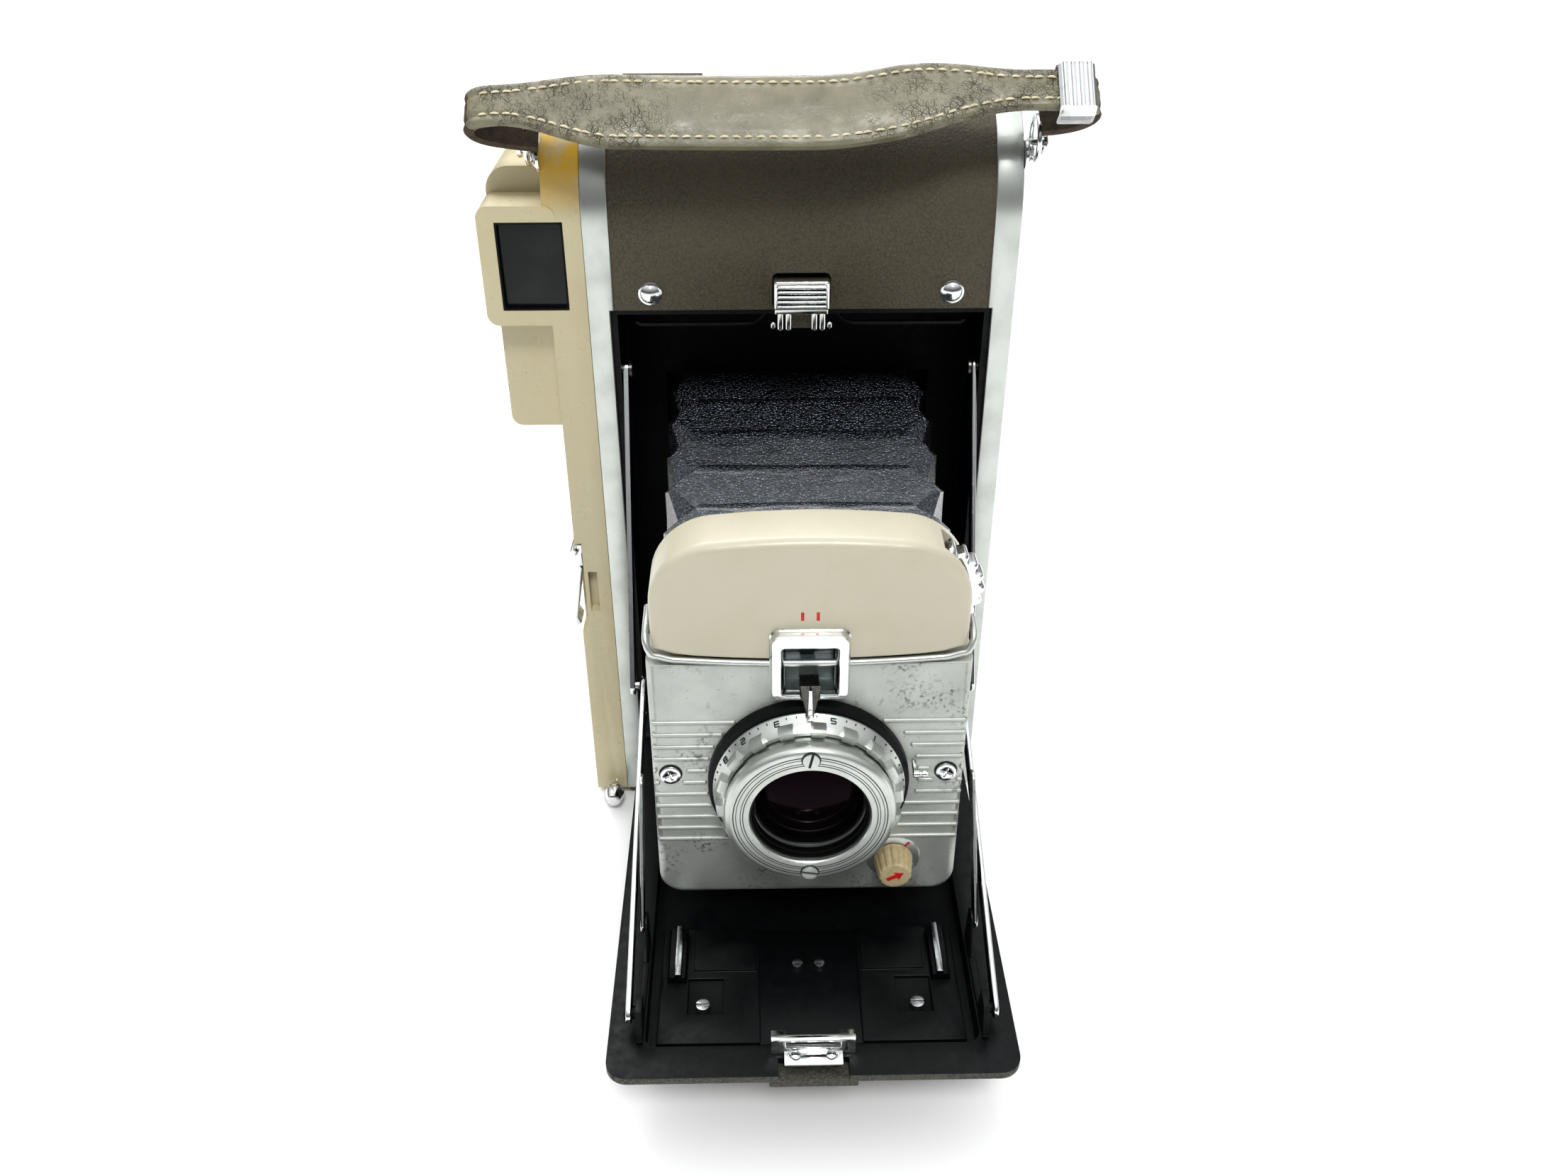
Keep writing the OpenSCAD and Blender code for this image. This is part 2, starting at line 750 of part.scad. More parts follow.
module rear_cover() {
    color([0.3, 0.27, 0.22]) {
        difference() {
            union() {
                difference() {
                    along_x(-hw, hw) profile_part(0, split_y + 0.3, hd, 3.4, body_h - 1.2);
                    along_x(-hw + 2, hw - 2) profile_part(2, -hd, hd, 6, body_h);
                    block(-door_hw, door_hw, hd - 4, hd + 1, door_low, door_top);
                    block(-hw - 1, hw + 1, split_y, split_y + 1.5, cover_axis[1], body_h);
                    xcyl(-leaf_hw - 0.6, leaf_hw + 0.6, cover_axis[0], cover_axis[1], hinge_groove);
                }
                both_sides() {
                    xcyl(24, 44, cover_axis[0], cover_axis[1], 1.1);
                    block(44.4, hw - 1.9, 10.6, 21.4, 160, 181);
                    block(30.4, 36, hd - 0.2, door_axis[0], 151, 153.3);
                    xcyl(30.4, 36, door_axis[0], door_axis[1], 1.3);
                }
            }
            xcyl(-45, 45, cover_axis[0], cover_axis[1], 0.65);
            both_sides() for (z = roller_z) xcyl(43, 46.5, roller_y, z, 1.66);
        }
        xcyl(-33, 33, door_axis[0], door_axis[1], 0.7);
    }
}

module print_door() {
    color([0.26, 0.24, 0.2]) difference() {
        union() {
            block(-door_hw + 0.5, door_hw - 0.5, hd - 2, hd, door_low + 0.5, door_top - 0.6);
            block(-8, 8, hd - 0.2, hd + 2.4, door_low + 4, door_low + 10);
            block(-30, 30, hd - 0.2, hd + 1.5, 145, door_top - 0.6);
            block(-30, 30, hd + 0.3, hd + 1.5, 145, door_axis[1]);
            xcyl(-30, 30, door_axis[0], door_axis[1], 1.3);
        }
        xcyl(-31, 31, door_axis[0], door_axis[1], 0.75);
    }
}

module spreader_roller(z) {
    xcyl(-40, 40, roller_y, z, 4.6);
    xcyl(-46, 46, roller_y, z, 1.6);
}

module spreader_roller_upper() {
    color("silver") spreader_roller(roller_z[0]);
}

module spreader_roller_lower() {
    color("silver") spreader_roller(roller_z[1]);
}

// ---- Strap ----

strap_tilt = 45;
strap_out = 16.3;
strap_end_w = 9.4;
strap_ends = [-75.6, 66.2];

// Places its children in the strap's own plane: x along the strap, y across it, z outwards
module strap_place() {
    translate([0, lug_y, lug_z]) rotate([strap_tilt, 0, 0]) translate([0, -1.5, strap_out]) children();
}

// Plan outline of the strap: a broad middle between narrow ends
module strap_outline() {
    h = strap_w / 2;
    e = strap_end_w / 2;
    polygon([[strap_ends[0], -e], [-66, -e], [-45, -h], [22, -h], [48, -e], [strap_ends[1], -e],
        [strap_ends[1], e], [48, e], [22, h], [-45, h], [-66, e], [strap_ends[0], e]]);
}

// End of the strap, looped back under it towards its ring
module strap_loop(x0, x1, bend) {
    drop = 9.6;
    e = strap_end_w / 2;
    translate([x0, -e, -drop]) cube([x1 - x0, strap_end_w, strap_t]);
    translate([bend, -e, -drop]) cube([strap_t, strap_end_w, drop + strap_t]);
}

module carry_strap() {
    color([0.49, 0.46, 0.39]) strap_place() {
        linear_extrude(strap_t) strap_outline();
        strap_loop(strap_ends[0], -59.6, strap_ends[0]);
        strap_loop(50, strap_ends[1], strap_ends[1] - strap_t);
    }
}

module strap_rings() {
    color("silver") for (x = [strip_x0 - 2, hw + 2]) translate([x, lug_y, lug_z])
        rotate([strap_tilt, 0, 0]) translate([0, 0, 2.4]) rotate([0, 90, 0])
            rotate_extrude($fn = 48) translate([5, 0]) circle(0.8, $fn = 16);
}

module strap_slide() {
    color("silver") strap_place() difference() {
        translate([56.2, -6.2, -1.2]) cube([7.2, 12.4, strap_t + 2.4]);
        translate([55, -strap_end_w / 2 - 0.4, -0.2]) cube([10, strap_end_w + 0.8, strap_t + 0.4]);
    }
}

body_shell();
side_trim_left();
side_trim_right();
front_panel();
lower_front_panel();
opening_bezel();
panel_rivets();
catch_strike();
latch_spring();
film_gate();
finder_housing();
finder_window();
finder_eyepiece();
accessory_clip();
accessory_plate();
strap_lugs();
tripod_bush();
hinge_pins();
cover_hinge();
bellows();
negative_roll();
print_roll();
bed_shell();
focus_rails();
bed_front_plate();
bed_fasteners();
catch_bracket();
strut_brackets();
upper_strut_left();
upper_strut_right();
lower_strut_left();
lower_strut_right();
brace_left();
brace_right();
shutter_housing();
back_plate();
top_cap();
window_frame();
window_glass();
focus_pointer();
face_screws();
dial_plate();
lens_base_ring();
focus_ring();
front_ring();
front_lens();
rear_lens();
aperture_disc();
exposure_wheel();
speed_knob();
shutter_lever();
latch_button();
release_button();
rear_cover();
print_door();
spreader_roller_upper();
spreader_roller_lower();
carry_strap();
strap_rings();
strap_slide();
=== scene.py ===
"""Looks of a folding instant camera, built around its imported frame.

Lengths are in millimetres in the row frame: X right, -Y front, Z up. Meshes are scaled to metres when made.
"""
import json
import random
from math import asin, cos, exp, hypot, radians, sin, sqrt, tau

import bmesh
import bpy
from mathutils import Matrix, Vector, noise


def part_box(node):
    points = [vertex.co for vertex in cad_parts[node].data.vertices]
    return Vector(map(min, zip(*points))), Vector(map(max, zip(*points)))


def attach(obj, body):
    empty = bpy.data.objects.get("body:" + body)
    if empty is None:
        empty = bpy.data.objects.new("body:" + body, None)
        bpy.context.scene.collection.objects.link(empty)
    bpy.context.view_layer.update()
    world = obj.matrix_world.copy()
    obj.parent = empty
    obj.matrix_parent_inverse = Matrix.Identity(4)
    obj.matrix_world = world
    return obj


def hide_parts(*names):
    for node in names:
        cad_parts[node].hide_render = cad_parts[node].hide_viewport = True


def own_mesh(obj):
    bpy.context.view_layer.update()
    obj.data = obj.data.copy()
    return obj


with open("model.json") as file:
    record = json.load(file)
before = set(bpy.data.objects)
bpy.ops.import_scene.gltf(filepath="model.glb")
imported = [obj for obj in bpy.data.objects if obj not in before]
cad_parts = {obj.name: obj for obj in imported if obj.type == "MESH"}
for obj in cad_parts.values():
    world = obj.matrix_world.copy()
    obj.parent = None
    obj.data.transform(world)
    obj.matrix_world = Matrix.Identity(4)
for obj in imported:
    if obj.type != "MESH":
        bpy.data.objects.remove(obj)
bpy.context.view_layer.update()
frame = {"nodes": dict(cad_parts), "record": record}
NODE_BODY = {n: b for b, ns in frame["record"]["behaviour"]["bodies"].items() for n in ns}
MM = 0.001
rng = random.Random(7)


def span(node):
    """Lowest and highest corner of a CAD node, in millimetres."""
    low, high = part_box(node)
    return low / MM, high / MM


def add(name, data):
    """A new object in the scene."""
    thing = bpy.data.objects.new(name, data)
    bpy.context.scene.collection.objects.link(thing)
    return thing


def mesh_from(name, bm):
    """Turns a mesh in millimetres into one in metres."""
    mesh = bpy.data.meshes.new(name)
    bm.to_mesh(mesh)
    bm.free()
    mesh.transform(Matrix.Scale(MM, 4))
    return mesh


# ---- Camera ----

camera = add("camera", bpy.data.cameras.new("camera"))
camera.location = (-0.01048, -0.34276, 0.27938)
camera.rotation_euler = (radians(90 - 32.9), 0, radians(-1.13))
camera.data.sensor_width = 36
camera.data.lens = 30.75
camera.data.clip_start = 0.01
bpy.context.scene.camera = camera

# ---- Materials ----


def linear(red, green, blue):
    """Linear colour of an sRGB colour given from 0 to 255."""
    def one(value):
        value /= 255
        return value / 12.92 if value < 0.04045 else ((value + 0.055) / 1.055) ** 2.4
    return (one(red), one(green), one(blue), 1)


class Tree:
    """The steps in making nodes that the materials and the world share."""

    def __init__(self, owner):
        owner.use_nodes = True
        self.nodes, self.links = owner.node_tree.nodes, owner.node_tree.links

    def axes(self, output="Object"):
        """X, Y and Z of a texture coordinate, in metres."""
        coords = self.nodes.new("ShaderNodeTexCoord").outputs[output]
        node = self.nodes.new("ShaderNodeSeparateXYZ")
        self.links.new(coords, node.inputs["Vector"])
        return node.outputs

    def level(self, value, low, high, out_low=0.0, out_high=1.0):
        node = self.nodes.new("ShaderNodeMapRange")
        levels = {"From Min": low, "From Max": high, "To Min": out_low, "To Max": out_high}
        for socket, number in levels.items():
            node.inputs[socket].default_value = number
        self.links.new(value, node.inputs["Value"])
        return node.outputs["Result"]

    def math(self, kind, a, b):
        node = self.nodes.new("ShaderNodeMath")
        node.operation = kind
        for socket, value in zip(node.inputs, (a, b)):
            if isinstance(value, (int, float)):
                socket.default_value = value
            else:
                self.links.new(value, socket)
        return node.outputs[0]


class Surface(Tree):
    """A material under construction. Texture scales are in features per millimetre."""

    def __init__(self, name, colour, rough, metallic=0.0, **sockets):
        self.material = bpy.data.materials.new(name)
        super().__init__(self.material)
        self.shader = self.nodes["Principled BSDF"]
        self.set("Base Color", colour)
        self.set("Roughness", rough)
        self.set("Metallic", metallic)
        for socket, value in sockets.items():
            self.set(socket.replace("_", " "), value)
        self.coords = self.nodes.new("ShaderNodeTexCoord").outputs["Object"]
        self.normal = None

    def set(self, socket, value):
        self.shader.inputs[socket].default_value = value

    def link(self, output, socket):
        self.links.new(output, self.shader.inputs[socket])

    def mapped(self, stretch):
        node = self.nodes.new("ShaderNodeMapping")
        node.inputs["Scale"].default_value = stretch
        self.links.new(self.coords, node.inputs["Vector"])
        return node.outputs["Vector"]

    def noise(self, scale, detail, stretch=(1, 1, 1)):
        node = self.nodes.new("ShaderNodeTexNoise")
        node.inputs["Scale"].default_value = scale / MM
        node.inputs["Detail"].default_value = detail
        node.inputs["Roughness"].default_value = 0.6
        self.links.new(self.mapped(stretch), node.inputs["Vector"])
        return node.outputs["Fac"]

    def cells(self, scale, feature="F1", stretch=(1, 1, 1)):
        node = self.nodes.new("ShaderNodeTexVoronoi")
        node.feature = feature
        node.inputs["Scale"].default_value = scale / MM
        self.links.new(self.mapped(stretch), node.inputs["Vector"])
        return node.outputs["Distance"]

    def blend(self, factor, a, b):
        node = self.nodes.new("ShaderNodeMix")
        node.data_type = "RGBA"
        self.links.new(factor, node.inputs["Factor"])
        for socket, value in ((node.inputs[6], a), (node.inputs[7], b)):
            if isinstance(value, tuple):
                socket.default_value = value
            else:
                self.links.new(value, socket)
        return node.outputs[2]

    def bump(self, height, depth):
        """Adds relief: height is from 0 to 1 and depth is in millimetres."""
        node = self.nodes.new("ShaderNodeBump")
        node.inputs["Distance"].default_value = depth * MM
        node.inputs["Strength"].default_value = 1.0
        self.links.new(height, node.inputs["Height"])
        if self.normal:
            self.links.new(self.normal, node.inputs["Normal"])
        self.normal = node.outputs["Normal"]
        self.link(self.normal, "Normal")

    def mottle(self, colour, scale, low=0.5, high=0.75):
        """Mixes a second colour in soft patches."""
        patches = self.level(self.noise(scale, 6), low, high)
        mixed = self.blend(patches, tuple(self.shader.inputs["Base Color"].default_value), colour)
        self.link(mixed, "Base Color")
        return mixed

    def vary_rough(self, scale, low, high):
        self.link(self.level(self.noise(scale, 5), 0.3, 0.7, low, high), "Roughness")


def satin_aluminium():
    s = Surface("satin_aluminium", linear(200, 204, 199), 0.3, 0.85)
    base = s.mottle(linear(184, 188, 183), 0.1, 0.45, 0.75)
    specks = s.level(s.noise(1.1, 4), 0.72, 0.78)
    s.link(s.blend(specks, base, linear(128, 132, 128)), "Base Color")
    s.vary_rough(0.1, 0.26, 0.36)
    return s.material


def cast_aluminium():
    s = Surface("cast_aluminium", linear(186, 190, 184), 0.42, 0.6)
    base = s.mottle(linear(168, 172, 166), 0.06, 0.42, 0.72)
    pits = s.level(s.noise(1.5, 5), 0.67, 0.73)
    base = s.blend(pits, base, linear(100, 102, 100))
    stains = s.math("MULTIPLY", s.level(s.noise(0.07, 3), 0.52, 0.66), s.level(s.noise(1.0, 5), 0.52, 0.62))
    s.link(s.blend(stains, base, linear(104, 107, 104)), "Base Color")
    s.vary_rough(0.2, 0.36, 0.5)
    s.bump(s.noise(3, 3), 0.03)
    s.bump(s.noise(0.5, 2), 0.04)
    return s.material


def chrome():
    s = Surface("bright_chrome", linear(222, 224, 224), 0.1, 1.0)
    s.mottle(linear(186, 188, 186), 0.4, 0.55, 0.8)
    s.vary_rough(0.8, 0.05, 0.2)
    s.bump(s.noise(2.5, 2), 0.006)
    return s.material


def cream_plastic():
    s = Surface("cream_plastic", linear(192, 183, 151), 0.3, Coat_Weight=0.25, Coat_Roughness=0.12)
    base = s.mottle(linear(186, 174, 140), 0.035, 0.5, 0.8)
    grime = s.level(s.noise(1.3, 5), 0.68, 0.76)
    base = s.blend(grime, base, linear(150, 132, 92))
    # yellowed glue at the top of the strip
    place_at = s.axes()
    high = s.level(place_at["Z"], 0.181, 0.192)
    inner = s.level(place_at["X"], -0.0645, -0.061)
    front = s.level(place_at["Y"], 0.004, -0.004)
    patch = s.math("MULTIPLY", s.math("MULTIPLY", high, inner), front)
    patch = s.math("MULTIPLY", patch, s.level(s.noise(0.12, 4), 0.3, 0.5))
    s.link(s.blend(patch, base, linear(214, 172, 62)), "Base Color")
    s.vary_rough(0.3, 0.24, 0.4)
    s.bump(s.noise(0.15, 2), 0.12)
    return s.material


def cap_enamel():
    s = Surface("cap_enamel", linear(187, 182, 162), 0.36, Coat_Weight=0.15, Coat_Roughness=0.2)
    base = s.mottle(linear(182, 176, 153), 0.05, 0.5, 0.8)
    specks = s.level(s.noise(1.1, 5), 0.7, 0.76)
    s.link(s.blend(specks, base, linear(150, 138, 112)), "Base Color")
    s.vary_rough(0.3, 0.3, 0.44)
    s.bump(s.noise(1.2, 2), 0.02)
    return s.material


def leatherette(name, colour, light, dark, depth):
    s = Surface(name, colour, 0.5, Specular_IOR_Level=0.4)
    height = s.math("ADD", s.math("MULTIPLY", s.cells(2.6), 0.55), s.math("MULTIPLY", s.cells(1.3), 0.5))
    # painted shade: the grain's hollows, where the bump below sinks, take the darker colour, and its tops the
    # lighter one
    base = s.blend(s.level(height, 0.15, 0.75), light, dark)
    worn = s.level(s.noise(0.05, 5), 0.45, 0.8, 0.0, 0.7)
    s.link(s.blend(worn, base, colour), "Base Color")
    s.link(s.level(height, 0.1, 0.8, 0.4, 0.6), "Roughness")
    s.bump(s.level(height, 0.1, 0.9, 1.0, 0.0), depth)
    s.bump(s.noise(1.1, 3), 0.12)
    return s.material


def black_paint(name="black_paint", rough=0.42, colour=linear(7, 9, 11)):
    s = Surface(name, colour, rough, Specular_IOR_Level=0.25)
    dust = s.level(s.noise(0.5, 6), 0.64, 0.85, 0.0, 0.4)
    s.link(s.blend(dust, colour, linear(30, 33, 36)), "Base Color")
    s.vary_rough(0.4, rough - 0.08, rough + 0.12)
    s.bump(s.noise(1.2, 3), 0.03)
    return s.material


def wrinkle_paint():
    s = Surface("wrinkle_paint", linear(12, 13, 14), 0.5, Specular_IOR_Level=0.3)
    s.bump(s.cells(1.2, "SMOOTH_F1"), 0.1)
    s.mottle(linear(20, 21, 22), 0.3)
    return s.material


def bellows_leather():
    s = Surface("bellows_leather", linear(26, 30, 34), 0.3, Specular_IOR_Level=1.0, Coat_Weight=1.0,
                Coat_Roughness=0.24, Specular_Tint=linear(225, 236, 255))
    worn = s.level(s.noise(0.16, 6, stretch=(0.35, 1, 1)), 0.4, 0.72)
    base = s.blend(worn, linear(13, 15, 17), linear(34, 38, 42))
    grain = s.cells(1.7, stretch=(0.7, 1, 1))
    # painted shade: the grain's hollows, where the bump below sinks, are coloured near black
    s.link(s.blend(s.level(grain, 0.3, 0.8), base, linear(7, 9, 11)), "Base Color")
    s.vary_rough(0.5, 0.22, 0.4)
    s.bump(s.level(grain, 0.1, 0.8, 1.0, 0.0), 0.32)
    s.bump(s.noise(0.4, 4, stretch=(0.4, 1, 1)), 0.5)
    return s.material


def strap_leather():
    s = Surface("strap_leather", linear(118, 112, 93), 0.4, Specular_IOR_Level=0.7)
    patches = s.level(s.noise(0.09, 6), 0.35, 0.7)
    base = s.blend(patches, linear(106, 101, 80), linear(134, 129, 106))
    # cracks gather where the strap bends near its ends
    along = s.axes()["X"]
    left = s.level(along, -0.026, -0.038)
    right = s.level(along, 0.008, 0.03)
    worn = s.math("MAXIMUM", s.math("MAXIMUM", left, right), 0.12)
    crack = s.level(s.cells(0.75, "DISTANCE_TO_EDGE", (0.8, 1, 1)), 0.0, 0.06, 1.0, 0.0)
    fine = s.level(s.cells(1.9, "DISTANCE_TO_EDGE", (0.8, 1, 1)), 0.0, 0.07, 0.7, 0.0)
    lines = s.math("MULTIPLY", s.math("MAXIMUM", crack, fine), worn)
    lines = s.math("MULTIPLY", lines, s.level(s.noise(0.22, 4), 0.4, 0.6))
    s.link(s.blend(lines, base, linear(52, 46, 34)), "Base Color")
    s.vary_rough(0.2, 0.32, 0.5)
    s.bump(lines, -0.16)
    s.bump(s.noise(1.6, 3), 0.05)
    s.bump(s.noise(0.12, 3), 0.3)
    return s.material


def raw_leather():
    s = Surface("raw_leather", linear(74, 58, 38), 0.75)
    s.mottle(linear(42, 31, 20), 0.35, 0.4, 0.7)
    s.bump(s.noise(2.2, 5), 0.18)
    return s.material


def thread():
    s = Surface("cream_thread", linear(214, 206, 178), 0.7)
    s.mottle(linear(176, 162, 124), 0.6, 0.45, 0.75)
    s.bump(s.noise(5, 2, stretch=(0.4, 1, 1)), 0.06)
    return s.material


def plain(name, colour, rough, second, scale=0.6, depth=0.02, **sockets):
    s = Surface(name, colour, rough, **sockets)
    s.mottle(second, scale, 0.45, 0.8)
    s.vary_rough(scale, max(rough - 0.06, 0.02), rough + 0.08)
    s.bump(s.noise(2.5, 2), depth)
    return s.material


def glass():
    s = Surface("clear_glass", linear(150, 168, 170), 0.02, Transmission_Weight=0.92, IOR=1.5,
                Coat_Weight=0.6)
    s.link(s.level(s.noise(0.6, 5), 0.4, 0.8, 0.02, 0.08), "Roughness")
    return s.material


MAT = {
    "satin": satin_aluminium(),
    "cast": cast_aluminium(),
    "chrome": chrome(),
    "cream": cream_plastic(),
    "cap": cap_enamel(),
    # the two colours after each leatherette's base are its grain tops and the painted shade in its grain
    # hollows
    "panel": leatherette("taupe_leatherette", linear(86, 79, 64), linear(92, 85, 69), linear(70, 64, 51),
                         0.12),
    "edge": leatherette("grey_leatherette", linear(74, 73, 64), linear(86, 84, 75), linear(48, 47, 41), 0.1),
    "black": black_paint(),
    "black_dull": black_paint("black_dull", 0.62, linear(5, 6, 6)),
    "wrinkle": wrinkle_paint(),
    "bellows": bellows_leather(),
    "strap": strap_leather(),
    "raw": raw_leather(),
    "thread": thread(),
    "knob": plain("knob_plastic", linear(186, 172, 136), 0.35, linear(160, 144, 106)),
    "red": plain("red_paint", linear(200, 28, 30), 0.4, linear(160, 22, 24)),
    # painted shade for the grooves between the latch button's ribs
    "groove_shade": plain("painted_groove_shade", linear(38, 38, 40), 0.5, linear(66, 66, 66)),
    "paper": plain("roll_paper", linear(225, 222, 212), 0.8, linear(205, 200, 186)),
    "steel": plain("steel", linear(190, 192, 194), 0.22, linear(160, 162, 165), Metallic=1.0),
    "steel_dark": plain("dark_steel", linear(92, 92, 88), 0.3, linear(58, 58, 56), Metallic=1.0),
    "glass": glass(),
    # fill of the engraved focus scale, also used for painted shade in grooves and round screws
    "engraving_and_shade": plain("engraving_fill_and_shade", linear(30, 32, 32), 0.6, linear(52, 54, 54)),
    "brass": plain("dull_brass", linear(62, 54, 34), 0.5, linear(44, 40, 28), Metallic=0.6),
    "coated": plain("coated_glass", linear(12, 7, 10), 0.05, linear(6, 5, 8), 0.1, 0.0,
                    Specular_IOR_Level=0.1, Specular_Tint=linear(210, 150, 180)),
    "smoked": plain("smoked_glass", linear(20, 25, 25), 0.06, linear(34, 40, 38), 0.12, 0.0,
                    Specular_IOR_Level=0.3),
}

# ---- Mesh tools ----


def smooth_edges(bm, sharp):
    for edge in bm.edges:
        edge.smooth = len(edge.link_faces) < 2 or edge.calc_face_angle(0) < radians(sharp)


def make(name, bm, body, material, node=None, sharp=35, second=None):
    """Turns a mesh in millimetres into a piece that rides on a body and may stand for a CAD node."""
    bmesh.ops.recalc_face_normals(bm, faces=bm.faces)
    for face in bm.faces:
        face.smooth = True
    smooth_edges(bm, sharp)
    mesh = mesh_from(name, bm)
    piece = add(name, mesh)
    mesh.materials.append(MAT[material])
    if second:
        mesh.materials.append(MAT[second])
    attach(piece, body)
    if node:
        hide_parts(node)
    return piece


def band(bm, a, b):
    """Faces between two rings of vertices."""
    for i in range(len(a)):
        j = (i + 1) % len(a)
        bm.faces.new((a[i], a[j], b[j], b[i]))


def loft(bm, loops, ends=True, closed=False):
    """Skins a row of point loops that have the same number of points."""
    rings = [[bm.verts.new(p) for p in loop] for loop in loops]
    pairs = list(zip(rings, rings[1:]))
    if closed:
        pairs.append((rings[-1], rings[0]))
    for a, b in pairs:
        band(bm, a, b)
    if ends and not closed:
        for ring in (rings[0], rings[-1]):
            bm.faces.new(ring)
    return rings


def polar(cu, cv, r, angle):
    return (cu + r * cos(angle), cv + r * sin(angle))


def spun(points, degrees, centre):
    """Flat points turned about their origin, which then moves to the centre."""
    c, s = cos(radians(degrees)), sin(radians(degrees))
    return [(centre[0] + p * c - q * s, centre[1] + p * s + q * c) for p, q in points]


def rounded_rect(u0, u1, v0, v1, r):
    """Points of a rectangle with round corners, the same number for any size."""
    steps = 6
    corners = ((u1 - r, v0 + r, -90), (u1 - r, v1 - r, 0), (u0 + r, v1 - r, 90), (u0 + r, v0 + r, 180))
    return [polar(cu, cv, r, radians(start + 90 * i / steps)) for cu, cv, start in corners
            for i in range(steps + 1)]


def place(points, y):
    """Puts flat (x, z) points into space at a level along Y."""
    return [(u, y, v) for u, v in points]


def place_x(points, x):
    """Puts flat (y, z) points into space at a level along X."""
    return [(x, u, v) for u, v in points]


def slab(bm, outline, back, front, edge=0.4, back_edge=0.0, steps=4):
    """A plate from back to front along Y whose outline(inset) shrinks round the rims."""
    way = 1 if front > back else -1
    loops = []
    for rim, level, sign in ((back_edge, back, 1), (edge, front, -1)):
        if rim <= 0:
            loops.append(place(outline(0), level))
            continue
        curve = []
        for i in range(steps + 1):
            a = radians(90 * i / steps)
            curve.append(place(outline(rim * (1 - sin(a))), level + sign * way * rim * (1 - cos(a))))
        loops += curve if sign > 0 else curve[::-1]
    loft(bm, loops)


def box_slab(bm, x0, x1, z0, z1, back, front, corner=0.5, edge=0.3):
    """A rectangular plate with round corners and a rounded front rim."""
    least = 0.02
    slab(bm, lambda i: rounded_rect(x0 + i, x1 - i, z0 + i, z1 - i, max(corner - i, least)),
         back, front, edge)


def circle(cu, cv, r, count=48):
    return [polar(cu, cv, r, tau * i / count) for i in range(count)]


def turned(bm, outline, cx, cz, count=96):
    """A ring or disc about an axis along Y. The (radius, y) list is closed, or has its ends on the axis."""
    loops = [place(circle(cx, cz, max(r, 0.001), count), y) for r, y in outline]
    solid = outline[0][0] == 0 and outline[-1][0] == 0
    loft(bm, loops, ends=solid, closed=not solid)


def dome(bm, centre, normal, r, height, rings=6, count=28):
    """A rivet head: a spherical cap."""
    n = Vector(normal).normalized()
    side = n.orthogonal().normalized()
    other = n.cross(side)
    ball = (r * r + height * height) / (2 * height)
    loops = []
    top = asin(min(r / ball, 1))
    for i in range(rings + 1):
        a = top * (1 - i / rings)
        radius, level = max(ball * sin(a), 0.01), height - ball + ball * cos(a)
        loops.append([Vector(centre) + n * level + side * radius * cos(tau * k / count)
                      + other * radius * sin(tau * k / count) for k in range(count)])
    loft(bm, loops)


def tube(bm, path, r, sides=12, closed=False):
    """A round wire along a path of points."""
    path = [Vector(p) for p in path]
    count = len(path)
    loops = []
    side = None
    for i, p in enumerate(path):
        ahead = path[(i + 1) % count] if closed or i + 1 < count else p
        behind = path[i - 1] if closed or i else p
        along = (ahead - behind).normalized()
        side = along.orthogonal() if side is None else side - along * side.dot(along)
        side = side.normalized()
        other = along.cross(side)
        loops.append([p + r * (side * cos(tau * k / sides) + other * sin(tau * k / sides))
                      for k in range(sides)])
    loft(bm, loops, ends=not closed, closed=closed)


def curve_through(points, step=1.0):
    """Points at about an even spacing on a smooth curve through the given points."""
    points = [Vector(p) for p in points]
    out = []
    for i in range(len(points) - 1):
        p0 = points[max(i - 1, 0)]
        p1, p2 = points[i], points[i + 1]
        p3 = points[min(i + 2, len(points) - 1)]
        count = max(2, round((p2 - p1).length / step))
        for k in range(count):
            t = k / count
            out.append(0.5 * (2 * p1 + (p2 - p0) * t + (2 * p0 - 5 * p1 + 4 * p2 - p3) * t * t
                              + (3 * p1 - p0 - 3 * p2 + p3) * t ** 3))
    out.append(points[-1])
    return out


def refine(node, material, edge=0.3, segments=2, pick=None, second=None):
    """A copy of a CAD node with its sharp edges rounded, which stands for that node."""
    bm = bmesh.new()
    bm.from_mesh(frame["nodes"][node].data)
    bm.transform(Matrix.Scale(1 / MM, 4))
    bmesh.ops.remove_doubles(bm, verts=bm.verts, dist=0.003)
    bmesh.ops.dissolve_limit(bm, angle_limit=radians(0.6), verts=bm.verts, edges=bm.edges)
    edges = [e for e in bm.edges if len(e.link_faces) == 2 and e.calc_face_angle(0) > radians(30)]
    bmesh.ops.bevel(bm, geom=edges, offset=edge, segments=segments, profile=0.5, affect="EDGES",
                    clamp_overlap=True)
    if pick:
        for face in bm.faces:
            face.material_index = 1 if pick(face.calc_center_median(), face.normal) else 0
    make(node + "_finished", bm, NODE_BODY[node], material, node, second=second)


def paint(node, material):
    """Gives a CAD node that keeps its own mesh a better material."""
    data = frame["nodes"][node].data
    data.materials.clear()
    data.materials.append(MAT[material])


